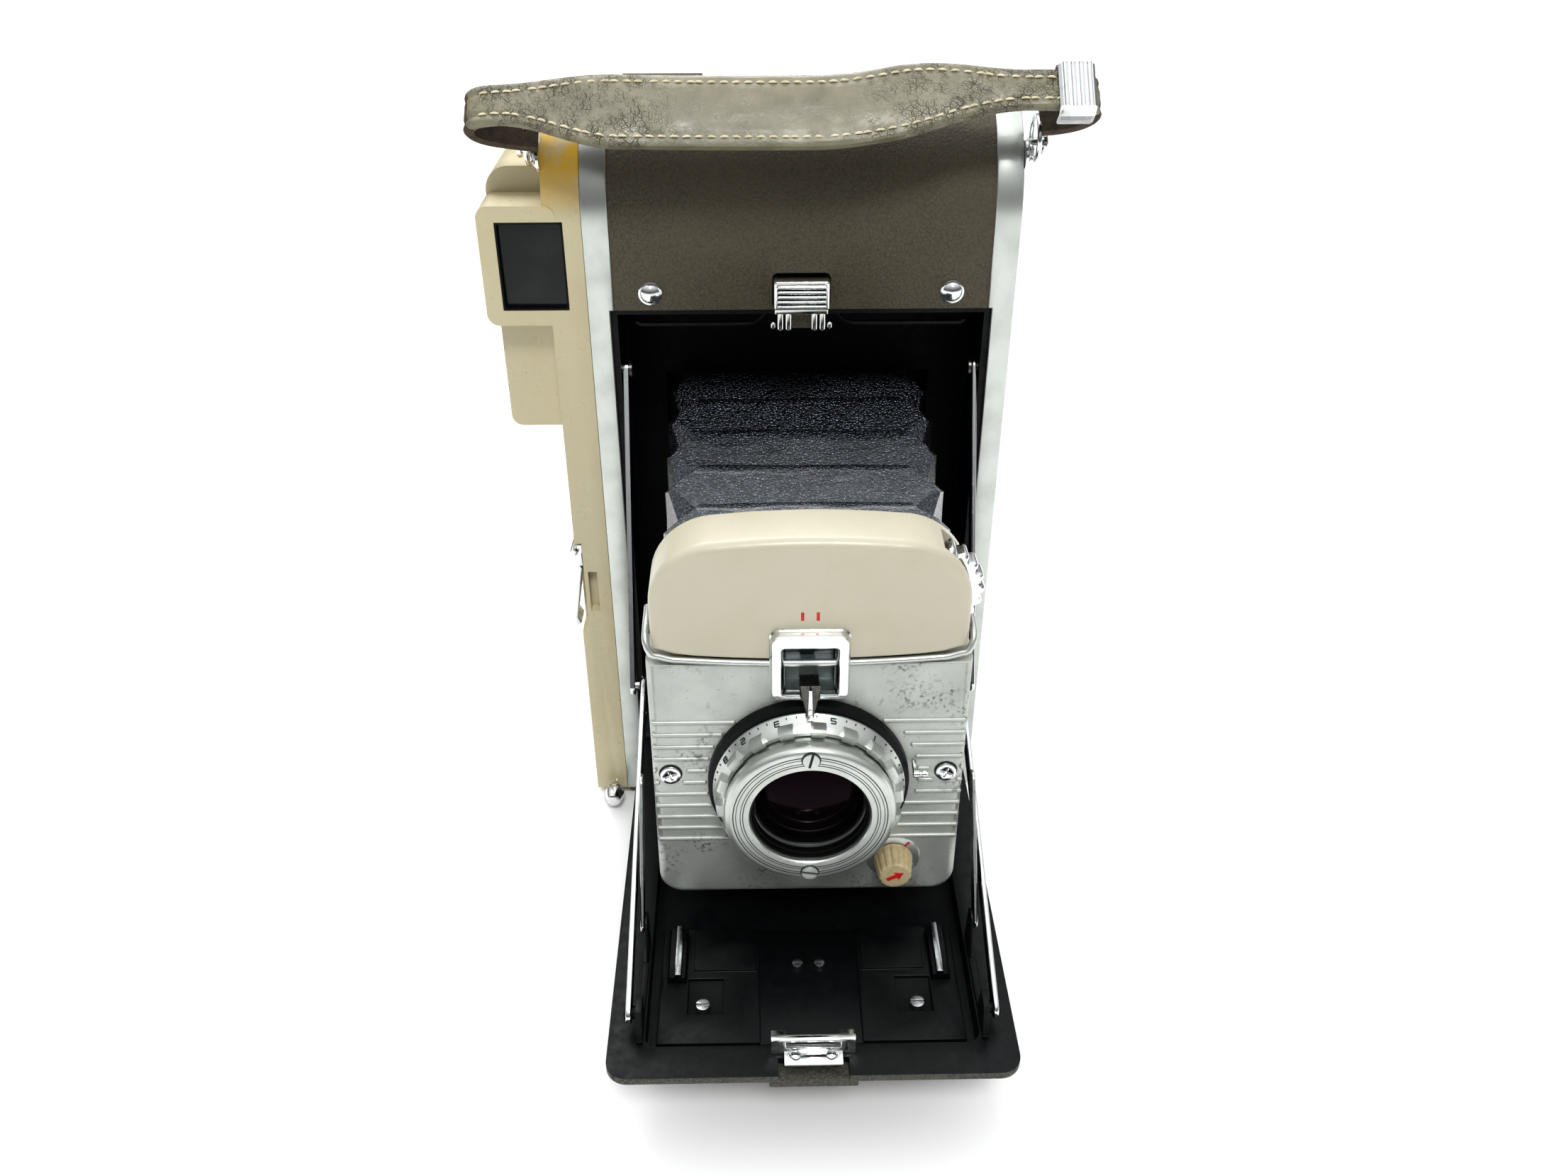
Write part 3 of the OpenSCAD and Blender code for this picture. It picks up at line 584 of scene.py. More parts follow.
def cut(piece, bm):
    """Takes a closed mesh, in millimetres, out of a piece."""
    bmesh.ops.recalc_face_normals(bm, faces=bm.faces)
    cutter = add("cutter", mesh_from("cutter", bm))
    modifier = piece.modifiers.new("cut", "BOOLEAN")
    modifier.operation = "DIFFERENCE"
    modifier.object = cutter
    modifier.solver = "EXACT"
    bpy.context.view_layer.update()
    result = bpy.data.meshes.new_from_object(piece.evaluated_get(bpy.context.evaluated_depsgraph_get()))
    piece.modifiers.clear()
    piece.data = result
    bm = bmesh.new()
    bm.from_mesh(result)
    smooth_edges(bm, 35)
    bm.to_mesh(result)
    bm.free()
    bpy.data.objects.remove(cutter)


def turned_piece(name, outline, body, material, node=None, x=0.0, z=None, count=96):
    """A piece of one turned shape, about the lens's axis if no other is given."""
    bm = bmesh.new()
    turned(bm, outline, x, LENS_Z if z is None else z, count)
    make(name, bm, body, material, node)


def slab_piece(name, body, material, *sizes, node=None):
    """A piece of one box_slab."""
    bm = bmesh.new()
    box_slab(bm, *sizes)
    make(name, bm, body, material, node)


def smoothstep(t):
    t = min(max(t, 0.0), 1.0)
    return t * t * (3 - 2 * t)


# ---- Body ----

panel_low = span("front_panel")[0]
LENS_LOW, LENS_HIGH = span("front_ring")
LENS_Z = (LENS_LOW.z + LENS_HIGH.z) / 2
LENS_FRONT = LENS_LOW.y
OPENING_TOP = panel_low.z
LUG = Vector((0, -23, 196))

PAINTS = {"wrinkle": ["body_shell"], "black": ["opening_bezel"], "chrome": ["tripod_bush"],
          "black_dull": ["film_gate", "finder_eyepiece", "back_plate", "aperture_disc"],
          "coated": ["rear_lens"], "steel_dark": ["hinge_pins"], "paper": ["negative_roll", "print_roll"],
          "steel": ["cover_hinge", "spreader_roller_upper", "spreader_roller_lower"]}
for finish, nodes in PAINTS.items():
    for node in nodes:
        paint(node, finish)
for node in ("side_trim_left", "side_trim_right"):
    refine(node, "satin", 0.75, 3)
refine("front_panel", "panel", 0.2)
refine("lower_front_panel", "panel", 0.2)


def panel_rivets():
    low, high = span("panel_rivets")
    bm = bmesh.new()
    y, z = high.y, (low.z + high.z) / 2
    for x in (low.x + 2.6, high.x - 2.6):
        turned(bm, [(0, y), (2.9, y), (2.9, y - 0.35), (2.6, y - 0.5), (0, y - 0.5)], x, z, 40)
        dome(bm, (x, high.y - 0.4, z), (0, -1, 0), 2.5, 1.25)
    make("panel_rivets_domed", bm, "camera_body", "chrome", "panel_rivets")


panel_rivets()


def latch_button():
    low, high = span("latch_button")
    bm = bmesh.new()
    box_slab(bm, low.x, high.x, low.z, high.z, high.y, low.y + 1.1, 0.7, 0.5)
    count = 5
    pitch = (high.z - low.z - 1.2) / count
    for i in range(count):
        z = low.z + 0.6 + pitch * (i + 0.5)
        reach = pitch * 0.34
        box_slab(bm, low.x + 0.7, high.x - 0.7, z - reach, z + reach, low.y + 1.4, low.y, 0.4, 0.35)
    make("latch_button_ribbed", bm, "bed_button", "chrome", "latch_button")
    # dark strips on the floors of the grooves between the ribs: painted shade
    bm = bmesh.new()
    for i in range(count - 1):
        z = low.z + 0.6 + pitch * (i + 1)
        reach = pitch * 0.16
        box_slab(bm, low.x + 0.8, high.x - 0.8, z - reach, z + reach, low.y + 1.3, low.y + 0.95, 0.1, 0.05)
    make("latch_button_grooves", bm, "bed_button", "groove_shade")


latch_button()


def catch_strike():
    low, high = span("catch_strike")
    bm = bmesh.new()
    top = OPENING_TOP
    for s in (-1, 1):
        for x in (3.2, 5.2):
            box_slab(bm, s * x - 0.75, s * x + 0.75, low.z, top, high.y - 2.6, low.y, 0.6, 0.4)
        box_slab(bm, *sorted((s * 6.4, s * 7.6)), low.z + 0.4, low.z + 2.2, -28.4, -29.2, 0.5, 0.3)
    box_slab(bm, -6.6, 6.6, top - 0.9, top + 0.7, high.y, low.y, 0.4, 0.3)
    make("catch_strike_ribbed", bm, "camera_body", "chrome", "catch_strike")
    slab_piece("catch_strike_insert", "camera_body", "panel", -2.5, 2.5, low.z + 0.5, top - 0.9, -28.2, -28.9,
               0.3, 0.2)


catch_strike()


def button_pocket():
    """Leather turned down into the pocket round the latch button."""
    low = span("latch_button")[0]
    bm = bmesh.new()
    face = panel_low.y
    loops = []
    for inset, y in ((0.0, face + 0.02), (0.25, face + 0.35), (0.4, face + 1.0)):
        loops.append(place(rounded_rect(-7.3 + inset, 7.3 - inset, low.z - 1, 167 - inset, 1.6 - inset), y))
    loops += [place(rounded_rect(-7.4, 7.4, low.z - 1.1, 167.1, 0.1), y) for y in (face + 1.0, face + 0.02)]
    loft(bm, loops, closed=True)
    make("button_pocket_edge", bm, "camera_body", "panel")


button_pocket()


def latch_spring():
    low, high = span("latch_spring")
    r = 0.6
    y, z = (low.y + high.y) / 2, low.z + r
    bm = bmesh.new()
    path = ((41.2, 0.9), (40.2, 0.1), (38, 0), (28, 0), (18, 0), (12.5, 0.2), (10, 1.6), (8.6, 3.6),
            (7.8, 4.9))
    for s in (-1, 1):
        tube(bm, curve_through([(s * x, y, z + up) for x, up in path], 1.2), r, 10)
    make("latch_spring_bent", bm, "camera_body", "black", "latch_spring")


latch_spring()

# ---- Finder ----

refine("finder_housing", "cream", 0.9, 4)


def finder_inside():
    """Black lining, pane and inner lens of the finder."""
    low, high = span("finder_window")
    x0, x1, z0, z1, front = low.x, high.x, low.z, high.z, low.y
    bm = bmesh.new()
    loops = []
    for inset, y in ((0.02, front - 1.3), (0.02, 14.5), (1.2, 14.5), (0.9, front + 2.6), (0.5, front + 2.4),
                     (0.5, front - 1.3)):
        loops.append(place(rounded_rect(x0 + inset, x1 - inset, z0 + inset, z1 - inset, 0.6), y))
    loft(bm, loops, closed=True)
    make("finder_lining", bm, "camera_body", "black_dull")
    bm = bmesh.new()
    loops = []
    for inset, y in ((0.9, -18), (0.9, -17), (3.4, -17), (3.4, -18)):
        loops.append(place(rounded_rect(x0 + inset, x1 - inset, z0 + inset, z1 - inset - 1.5, 2.2), y))
    loft(bm, loops, closed=True)
    make("finder_mask", bm, "camera_body", "black")
    bm = bmesh.new()
    slab(bm, lambda i: rounded_rect(x0 + 3.2 + i, x1 - 3.2 - i, z0 + 3.2 + i, z1 - 4.7 - i, 2.0),
         -16.5, -18.6, 1.4)
    make("finder_lens", bm, "camera_body", "coated")
    slab_piece("finder_pane", "camera_body", "smoked", x0 + 0.5, x1 - 0.5, z0 + 0.5, z1 - 0.5,
               front + 1.2, front, 0.4, 0.15, node="finder_window")
    slab_piece("finder_back", "camera_body", "black_dull", x0 + 1, x1 - 1, z0 + 1, z1 - 1, 14.4, 13.6,
               0.4, 0.1)


finder_inside()
refine("accessory_clip", "chrome", 0.2)
refine("accessory_plate", "chrome", 0.2)


def side_button():
    low, high = span("release_button")
    x, z = (low.x + high.x) / 2, (low.z + high.z) / 2
    outline = [(r, low.y + y) for r, y in
               ((0, 0), (1.4, 0), (2.0, 0.4), (2.3, 1.2), (3.0, 3.4), (2.9, 4.2), (2.2, 4.6), (2.2, 5.0),
                (2.5, 5.2), (2.5, 5.6), (2.1, 5.8), (0.95, 5.9))]
    outline += [(0.95, high.y), (0, high.y)]
    turned_piece("side_button_turned", outline, "side_button", "chrome", "release_button", x, z, 40)


side_button()


def strap_lugs():
    low, high = span("strap_lugs")
    bm = bmesh.new()
    for side, reach in ((-1, -low.x), (1, high.x)):
        base = reach - 5
        for x, x1, r in ((base, base + 1, 3.4), (base + 0.5, base + 4.2, 1.5), (base + 4, base + 5, 2.4)):
            z = 193.4 if r == 3.4 else LUG.z
            loft(bm, [place_x(circle(LUG.y, z, radius, 32), side * level)
                      for radius, level in ((r, x), (r, x1 - 0.3), (r - 0.3, x1))])
    make("strap_lugs_turned", bm, "camera_body", "chrome", "strap_lugs")


strap_lugs()

# ---- Bellows ----


def bellows():
    low, high = span("bellows")
    rear, front = high.y, low.y
    pleats, samples = 5, 16
    centre = 82
    # chamfer of the corners at the valleys, and at the ridges
    wide, narrow = 6.2, 1.0

    def ring(t, side_in, top_in, chamfer):
        """A chamfered rectangle at share t from rear to front, with the same points on every ring."""
        half = 35.4 + (32.5 - 35.4) * t - side_in
        z0 = low.z + (36.5 - low.z) * t + top_in
        z1 = high.z + (128 - high.z) * t - top_in
        corners = [(half - chamfer, z0), (half, z0 + chamfer), (half, z1 - chamfer), (half - chamfer, z1),
                   (-half + chamfer, z1), (-half, z1 - chamfer), (-half, z0 + chamfer), (-half + chamfer, z0)]
        points = []
        for k, start in enumerate(corners):
            end = corners[(k + 1) % 8]
            count = 26 if k % 2 else 4
            points += [[a + (b - a) * (i / count) for a, b in zip(start, end)] for i in range(count)]
        return points

    bm = bmesh.new()
    loops = []
    # share of a pleat from its rear valley, and how far the top lies under the ridge there
    profile = [(0.0, 6.2), (0.1, 1.6), (0.16, 0.3), (0.3, 0.0), (0.335, 0.7), (0.37, 0.5), (0.6, 2.2),
               (0.86, 4.2), (0.94, 4.9), (1.0, 6.2)]
    for k in range(pleats * samples + 1):
        t = k / (pleats * samples)
        phase = (k % samples) / samples
        drop = 0.0
        for (p0, d0), (p1, d1) in zip(profile, profile[1:]):
            if p0 <= phase <= p1:
                drop = d0 + (d1 - d0) * (phase - p0) / (p1 - p0)
        middle = phase / 0.5 if phase < 0.5 else (1 - phase) / 0.5
        if phase < 0.32:
            chamfer = wide
        elif phase < 0.62:
            chamfer = wide - 5.2 * (phase - 0.32) / 0.3
        else:
            chamfer = narrow + 4.4 * (phase - 0.62) / 0.38
        y = rear + (front - rear) * t
        points = []
        for u, v in ring(t, 3.9 * (1 - middle), drop, chamfer):
            ripple = noise.noise(Vector((u * 0.11, k * 0.45, v * 0.11))) * (0.25 + 0.75 * middle)
            scale = 1 + ripple * 0.008
            drift = noise.noise(Vector((u * 0.05, v * 0.05, k // samples * 3.1))) * 0.9
            at_end = k in (0, pleats * samples)
            points.append((u * scale, y + drift * (not at_end), centre + (v - centre) * scale))
        loops.append(points)
    rings = loft(bm, loops, ends=False)
    inner = [[bm.verts.new((v.co.x * 0.975, v.co.y, centre + (v.co.z - centre) * 0.985)) for v in r]
             for r in rings]
    for a, b in zip(inner, inner[1:]):
        for i in range(len(a)):
            j = (i + 1) % len(a)
            bm.faces.new((a[j], a[i], b[i], b[j]))
    for end in (0, -1):
        band(bm, rings[end], inner[end])
    piece = make("bellows_pleated", bm, "camera_body", "bellows", "bellows", sharp=38)
    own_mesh(piece)


bellows()

# ---- Bed ----

RIM = 27.4


def bed_outside(centre, normal):
    """True on the covered outside of the bed."""
    return normal.z < -0.3 or (centre.z < RIM - 0.3 and (abs(centre.x) > 46 or centre.y < -151.8))


refine("bed_shell", "black", 0.5, 3, pick=bed_outside, second="edge")
refine("focus_rails", "black", 0.2, pick=lambda c, n: c.z > 24.6 and n.z > 0.5, second="steel")
refine("bed_front_plate", "black", 0.25)
refine("bed_fasteners", "steel", 0.15)
refine("catch_bracket", "chrome", 0.25)
refine("strut_brackets", "black", 0.2)
bm = bmesh.new()
slab(bm, lambda i: rounded_rect(-10 + i, 10 - i, RIM - 4.4, RIM - 2.0, 0.3), -146.5, -151.9, 0.2)
make("bed_edge_lip", bm, "bed", "edge")


def flat_side(centre, normal):
    """True on the broad faces of a strut, which are blackened between bright edges."""
    return abs(normal.x) > 0.8


for side in ("left", "right"):
    for link, edge in (("upper_strut_", 0.42), ("lower_strut_", 0.42), ("brace_", 0.3)):
        refine(link + side, "chrome", edge, 3, pick=flat_side, second="black")

# ---- Front standard ----

house_low, house_high = span("shutter_housing")
cap_low, cap_high = span("top_cap")
FACE = cap_low.y
HALF = house_high.x
SEAM = cap_low.z
SCREW_X, SCREW_Z = 32.3, 72.3


def drill(piece, x, z, r, y0, y1):
    bm = bmesh.new()
    loft(bm, [place(circle(x, z, r, 72), y) for y in (y0, y1)])
    cut(piece, bm)


def housing_outline(inset):
    """Outline of the housing: large lower corners, square upper ones."""
    u, low, high, r = HALF - inset, house_low.z + inset, SEAM - 1.6 - inset * 0.3, 6.0 - inset
    right, left = [[polar(cx, low + r, r, radians(start + 9 * i)) for i in range(11)]
                   for cx, start in ((u - r, -90), (-u + r, 180))]
    return right + [(u, high), (-u, high)] + left


def shutter_housing():
    bm = bmesh.new()
    slab(bm, housing_outline, -90.2, FACE, 2.0, steps=6)
    piece = make("shutter_housing_cast", bm, "front_standard", "cast", "shutter_housing")
    drill(piece, 0, LENS_Z, 15.4, -104.0, -80.0)
    bm = bmesh.new()
    box_slab(bm, -5.6, 5.6, 96.6, SEAM + 2, -99, -104, 0.4, 0.05)
    cut(piece, bm)
    bm = bmesh.new()
    count, pitch, lowest = 11, 3.56, 51.8
    for i in range(count):
        z = lowest + pitch * i
        for s in (-1, 1):
            # the ribs stop at the lens ring, with room for the shutter lever on the right
            clear = 25.6 if s > 0 and 66 < z < 84 else 23.9
            reach = sqrt(max(clear ** 2 - (z - LENS_Z) ** 2, 0))
            end = HALF - 0.25
            parts = [(max(reach, 12), end)]
            near = 3.7 ** 2 - (z - SCREW_Z) ** 2
            if near > 0:
                # the ribs part round the screws
                gap = sqrt(near)
                parts = [(reach, SCREW_X - gap), (min(SCREW_X + gap, HALF - 1), end)]
            for part in parts:
                a, b = sorted(s * x for x in part)
                slab(bm, lambda k: rounded_rect(a + k, b - k, z - 0.55 + k, z + 0.55 - k,
                                                max(0.54 - k, 0.03)), FACE + 0.5, FACE - 0.5, 0.45)
    make("housing_ribs", bm, "front_standard", "cast")


shutter_housing()


def seam_at(s):
    """Height of the seam under the cap at share s of its half width: it rises towards its ends."""
    return SEAM - 0.9 + 2.0 * s * s + 1.3 * max(abs(s) - 0.85, 0) / 0.15


def cap_outline(inset):
    """Outline of the cap: a flat arch with large round shoulders over the seam."""
    u, top = HALF - 1.35 - inset, cap_high.z - inset
    shoulder, sag = 15.5 - inset * 0.6, 1.0
    points = []
    for i in range(17):
        s = -1 + 2 * i / 16
        points.append((s * u, seam_at(s) + inset * 0.4))
    centre = top - sag - shoulder
    flat = u - shoulder
    points += [polar(flat, centre, shoulder, radians(7.5 * i)) for i in range(13)]
    for i in range(1, 16):
        s = 1 - 2 * i / 16
        points.append((flat * s, top - sag * s * s))
    return points + [polar(-flat, centre, shoulder, radians(90 + 7.5 * i)) for i in range(13)]


def top_cap():
    bm = bmesh.new()
    slab(bm, cap_outline, -88.2, FACE - 0.25, 2.4, 1.0, steps=7)
    piece = make("top_cap_moulded", bm, "front_standard", "cap", "top_cap", sharp=40)
    wheel_low, wheel_high = span("exposure_wheel")
    cx, cz = (wheel_low.x + wheel_high.x) / 2, (wheel_low.z + wheel_high.z) / 2
    drill(piece, cx, cz, 11.7, -99.4, -91.2)
    bm = bmesh.new()
    box_slab(bm, -9.0, 9.0, SEAM - 2, 111.8, -96, -104, 1.5, 0.05)
    cut(piece, bm)
    bm = bmesh.new()
    box_slab(bm, -8.9, 8.9, SEAM - 10, 111.8, -95.5, -96.6, 1.5, 0.05)
    for s in (-1, 1):
        box_slab(bm, *sorted((s * 5.5, s * 8.8)), SEAM - 9, 111.8, -96.6, -100.6, 0.3, 0.05)
    make("window_backing", bm, "front_standard", "black_dull")
    bm = bmesh.new()
    for s in (-1, 1):
        # a pair of plain marks over the window
        box_slab(bm, s * 1.7 - 0.35, s * 1.7 + 0.35, 115.4, 117.6, FACE, FACE - 0.3, 0.15, 0.04)
    make("cap_marks", bm, "front_standard", "red")
    # bright lip of the housing that turns up round the cap
    bm = bmesh.new()
    half = HALF - 0.35
    path = [(-half, -91, SEAM + 6.4), (-half, -98, SEAM + 5.8), (-half, -101.2, SEAM + 3.8)]
    for i in range(17):
        share = -0.97 + 0.71 * i / 16
        path.append((share * half, -102.25, seam_at(share) - 0.75))
    path += [(-x, y, z) for x, y, z in reversed(path)]
    tube(bm, curve_through(path, 1.5), 0.8, 12)
    make("housing_lip", bm, "front_standard", "satin")


top_cap()


def window_frame():
    bm = bmesh.new()
    loops = []
    for inset, level, r in ((0, -98.0, 2.2), (0, -103.0, 2.2), (0.25, -103.3, 2.1), (0.3, -104.7, 2.1),
                            (0.6, -105.3, 1.9), (1.2, -105.5, 1.6), (2.5, -105.5, 1.0), (2.8, -105.2, 0.8),
                            (3.3, -103.4, 0.5), (3.4, -98.0, 0.5)):
        outline = rounded_rect(-9 + inset, 9 - inset, 95.6 + inset * 0.5, 113.4 - inset * 1.3, r)
        loops.append(place(outline, level))
    loft(bm, loops, closed=True)
    make("window_frame_bevelled", bm, "front_standard", "chrome", "window_frame")
    slab_piece("window_pane", "front_standard", "glass", -5.5, 5.5, 96.8, 107.4, -98.6, -99.4, 0.4, 0.1,
               node="window_glass")
    bm = bmesh.new()
    for i in range(5):
        x = -4.2 + 2.1 * i
        box_slab(bm, x - 0.25, x + 0.25, 102.6, 105.4, -96.6, -96.9, 0.1, 0.05)
    make("window_scale", bm, "front_standard", "knob")


window_frame()


def pointer():
    z0 = LENS_Z + 21.9
    bm = bmesh.new()
    for side in (-1, 1):
        # the two folded sides of the arm
        slab(bm, lambda i: [(side * x, z) for x, z in
                            ((0.1 + i, z0 + 0.6 + i), (0.75 - i, z0 + 0.6 + i), (1.9 - i, 98.4),
                             (2.3 - i, 101.6 - i), (0.1 + i, 101.6 - i))][::side], -107.4, -108.0, 0.2)
    box_slab(bm, -2.2, 2.2, 97.4, 98.4, -99.6, -107.6, 0.3, 0.1)
    make("focus_pointer_arm", bm, "front_standard", "steel_dark", "focus_pointer")
    bm = bmesh.new()
    slab(bm, lambda i: [(-0.7 + i, z0 + i), (0.7 - i, z0 + i), (0.35 - i * 0.5, 100.6 - i),
                        (-0.35 + i * 0.5, 100.6 - i)], -108.0, -108.5, 0.2)
    make("focus_pointer_needle", bm, "front_standard", "chrome")


pointer()
refine("face_screws", "chrome", 0.12)
# dark rings round the face screws: painted shade in their recesses
bm = bmesh.new()
for side in (-1, 1):
    turned(bm, [(2.3, FACE + 0.2), (2.3, FACE - 0.06), (2.75, FACE - 0.06), (2.75, FACE + 0.2)],
           side * SCREW_X, SCREW_Z, 40)
make("face_screw_recess_shade", bm, "front_standard", "engraving_and_shade")


def dial():
    low, high = span("dial_plate")
    x, z = (low.x + high.x) / 2, (low.z + high.z) / 2
    turned_piece("dial_plate_turned",
                 [(2.1, FACE), (2.1, low.y), (6.2, low.y), (6.7, low.y + 0.3), (6.7, FACE)],
                 "front_standard", "satin", "dial_plate", x, z, 64)
    bm = bmesh.new()
    for a, size in ((52, 1.8), (-40, 1.1)):
        half = size / 2
        bar = ((-half, -0.28), (half, -0.28), (half, 0.28), (-half, 0.28))
        mark = spun(bar, a, polar(x, z, 5.3, radians(a)))
        loft(bm, [place(mark, low.y + lift) for lift in (0.05, -0.06)])
    make("dial_marks", bm, "front_standard", "red")

    low, high = span("speed_knob")
    bm = bmesh.new()
    flutes = 14

    def fluted(r, depth, y):
        angles = [tau * k / (flutes * 8) for k in range(flutes * 8)]
        return place([polar(x, z, r - depth * (1 - abs(sin(flutes * a / 2)) ** 0.6), a) for a in angles], y)

    tip = low.y
    loft(bm, [fluted(4.7, 0.0, FACE - 0.8), fluted(4.8, 0.15, FACE - 1.2), fluted(4.75, 0.5, FACE - 2.0),
              fluted(4.1, 0.5, tip + 1.0), fluted(3.9, 0.3, tip + 0.35), fluted(3.5, 0.0, tip + 0.05),
              fluted(2.8, 0.0, tip)])
    turned(bm, [(0, FACE - 1.0), (2.0, FACE - 1.0), (2.0, high.y), (0, high.y)], x, z, 32)
    make("speed_knob_fluted", bm, "dial_knob", "knob", "speed_knob")
    bm = bmesh.new()
    arrow = ((-2.2, -0.5), (0.3, -0.5), (0.3, -1.3), (2.3, 0), (0.3, 1.3), (0.3, 0.5), (-2.2, 0.5))
    loft(bm, [place(spun(arrow, 28, (x, z)), tip + lift) for lift in (0.1, -0.12)])
    make("knob_arrow", bm, "dial_knob", "red")


dial()

# ---- Lens ----


def lens():
    z = LENS_Z
    front = LENS_FRONT
    low, high = span("lens_base_ring")
    outer = (high.x - low.x) / 2
    turned_piece("lens_base_ring_turned",
                 [(15.5, FACE), (15.5, low.y), (20.8, low.y), (22.4, low.y + 0.4), (outer - 0.2, low.y + 0.9),
                  (outer, low.y + 1.6), (outer, FACE)], "front_standard", "black", "lens_base_ring")

    low, high = span("focus_ring")
    bm = bmesh.new()
    back, face = high.y, low.y
    turned(bm, [(15.6, back), (15.6, -108.3), (19.2, -108.3), (19.2, face), (20.0, face), (20.4, face + 0.4),
                (21.2, face + 1.5), (22.1, back - 0.7), (22.4, back - 0.4), (22.4, back)], 0, z)
    teeth = 18
    for k in range(teeth):
        loops = []
        a0, a1 = tau * (k + 0.02) / teeth, tau * (k + 0.48) / teeth
        for i in range(7):
            a = a0 + (a1 - a0) * i / 6
            loops.append([(r * cos(a), y, z + r * sin(a)) for r, y in
                          ((19.6, face + 0.5), (19.6, face - 1.3), (21.1, face - 1.3), (21.6, face - 0.9),
                           (21.8, face + 0.3), (21.5, face + 1.9))])
        loft(bm, loops)
    make("focus_ring_castellated", bm, "focus_group", "satin", "focus_ring")

    bm = bmesh.new()
    cone = [(22.25, back - 0.6), (21.25, face + 1.6)]

    def on_cone(angle, along, lift):
        """A point on the ring's cone: along is 0 at the back and 1 at the front."""
        r = cone[0][0] + (cone[1][0] - cone[0][0]) * along + lift
        y = cone[0][1] + (cone[1][1] - cone[0][1]) * along - lift * 0.5
        return (r * sin(angle), y, z + r * cos(angle))

    def stroke(a0, v0, a1, v1, width):
        """A dark bar on the cone between two (angle, along) points."""
        across = (v1 - v0, (a1 - a0) * 12)
        size = hypot(*across) or 1
        du, dv = width * across[0] / size / 22, -width * across[1] / size / 2.2
        corner = [(a0 - du, v0 - dv), (a1 - du, v1 - dv), (a1 + du, v1 + dv), (a0 + du, v0 + dv)]
        loft(bm, [[on_cone(a, v, lift) for a, v in corner] for lift in (-0.05, 0.09)])

    # the seven bars of a digit in a unit square, and the bars that draw each digit of the scale
    bars = {"a": (0, 1, 1, 1), "b": (1, 1, 1, 0.5), "c": (1, 0.5, 1, 0), "d": (0, 0, 1, 0),
            "e": (0, 0.5, 0, 0), "f": (0, 1, 0, 0.5), "g": (0, 0.5, 1, 0.5)}
    digits = {-62: "abcdefg", -44: "afgcd", -20: "abgcd", 14: "abged", 44: "bc"}
    for degrees, names in digits.items():
        # the digits stand on their heads, to be read from above
        middle = radians(degrees)
        for u0, v0, u1, v1 in [bars[name] for name in names]:
            a0, a1 = middle + (0.5 - u0) * 0.052, middle + (0.5 - u1) * 0.052
            stroke(a0, 0.78 - v0 * 0.56, a1, 0.78 - v1 * 0.56, 0.13)
    for degrees in range(-80, 90, 6):
        if min(abs(degrees - d) for d in digits) > 4:
            stroke(radians(degrees), 0.08, radians(degrees), 0.3, 0.1)
    make("focus_scale", bm, "focus_group", "engraving_and_shade")

    r = (LENS_HIGH.x - LENS_LOW.x) / 2
    outline = [(13.0, -100.4), (13.0, front + 4.6), (13.8, front + 4.4), (13.8, front + 0.35), (14.05, front)]
    for i in range(7):
        a = radians(90 - 15 * i)
        outline.append((r - 1.6 + 1.6 * cos(a), front + 1.6 - 1.6 * sin(a)))
    outline += [(r, front + 3.2), (r - 0.2, front + 3.5), (r - 0.3, -112.4), (18.8, -112.4), (18.8, -109.7),
                (15.3, -109.7), (15.2, -109.5), (15.2, -100.4)]
    turned_piece("front_ring_turned", outline, "lens_cell", "satin", "front_ring")
    # painted shade: thin dark rings stand for the shade in the ring's grooves, and dark discs under the
    # slotted screws for the shade in their recesses and slots
    bm = bmesh.new()
    screw = 16.9
    for inner, width in ((15.3, 0.2), (15.9, 0.16), (16.9, 0.16), (17.5, 0.24)):
        turned(bm, [(inner, front + 0.3), (inner, front - 0.03), (inner + width, front - 0.03),
                    (inner + width, front + 0.3)], 0, z)
    for s in (-1, 1):
        turned(bm, [(0, front + 0.3), (0, front - 0.05), (2.2, front - 0.05), (2.2, front + 0.3)],
               0, z + s * screw, 40)
    make("ring_grooves", bm, "lens_cell", "engraving_and_shade")
    bm = bmesh.new()
    for s, turn in ((-1, 80), (1, -12)):
        for way in (-1, 1):
            # each half of a slotted head
            angles = [radians(-90 + 180 * k / 14) for k in range(15)]
            outline = spun([(way * max(1.9 * cos(t), 0.3), way * 1.9 * sin(t)) for t in angles], turn,
                           (0, z + s * screw))
            loft(bm, [place(outline, y) for y in (front, front - 0.45)])
    make("ring_screws", bm, "lens_cell", "satin")

    turned_piece("lens_baffles",
                 [(12.96, front + 5.2), (12.96, -101), (10.6, -101), (10.6, -103.5), (11.4, -103.7),
                  (11.4, -106), (12.1, -106.2), (12.1, -108.2), (12.5, -108.4), (12.5, front + 5.2)],
                 "lens_cell", "black")
    turned_piece("lens_retainer",
                 [(13.78, front + 1.2), (13.78, front + 4.0), (12.9, front + 4.0), (12.9, front + 3.5),
                  (13.4, front + 1.2)], "lens_cell", "black")
    turned_piece("lens_spacer",
                 [(13.42, front + 2.3), (13.42, front + 2.6), (13.1, front + 2.7), (13.1, front + 2.4)],
                 "lens_cell", "brass")
    outline = [(0, front + 4.2)]
    for i in range(1, 11):
        rr = 12.9 * i / 10
        outline.append((rr, front + 4.2 + rr * rr / 60))
    outline += [(12.9, -108.7), (0, -109.4)]
    turned_piece("front_lens_ground", outline, "lens_cell", "coated", "front_lens")


lens()


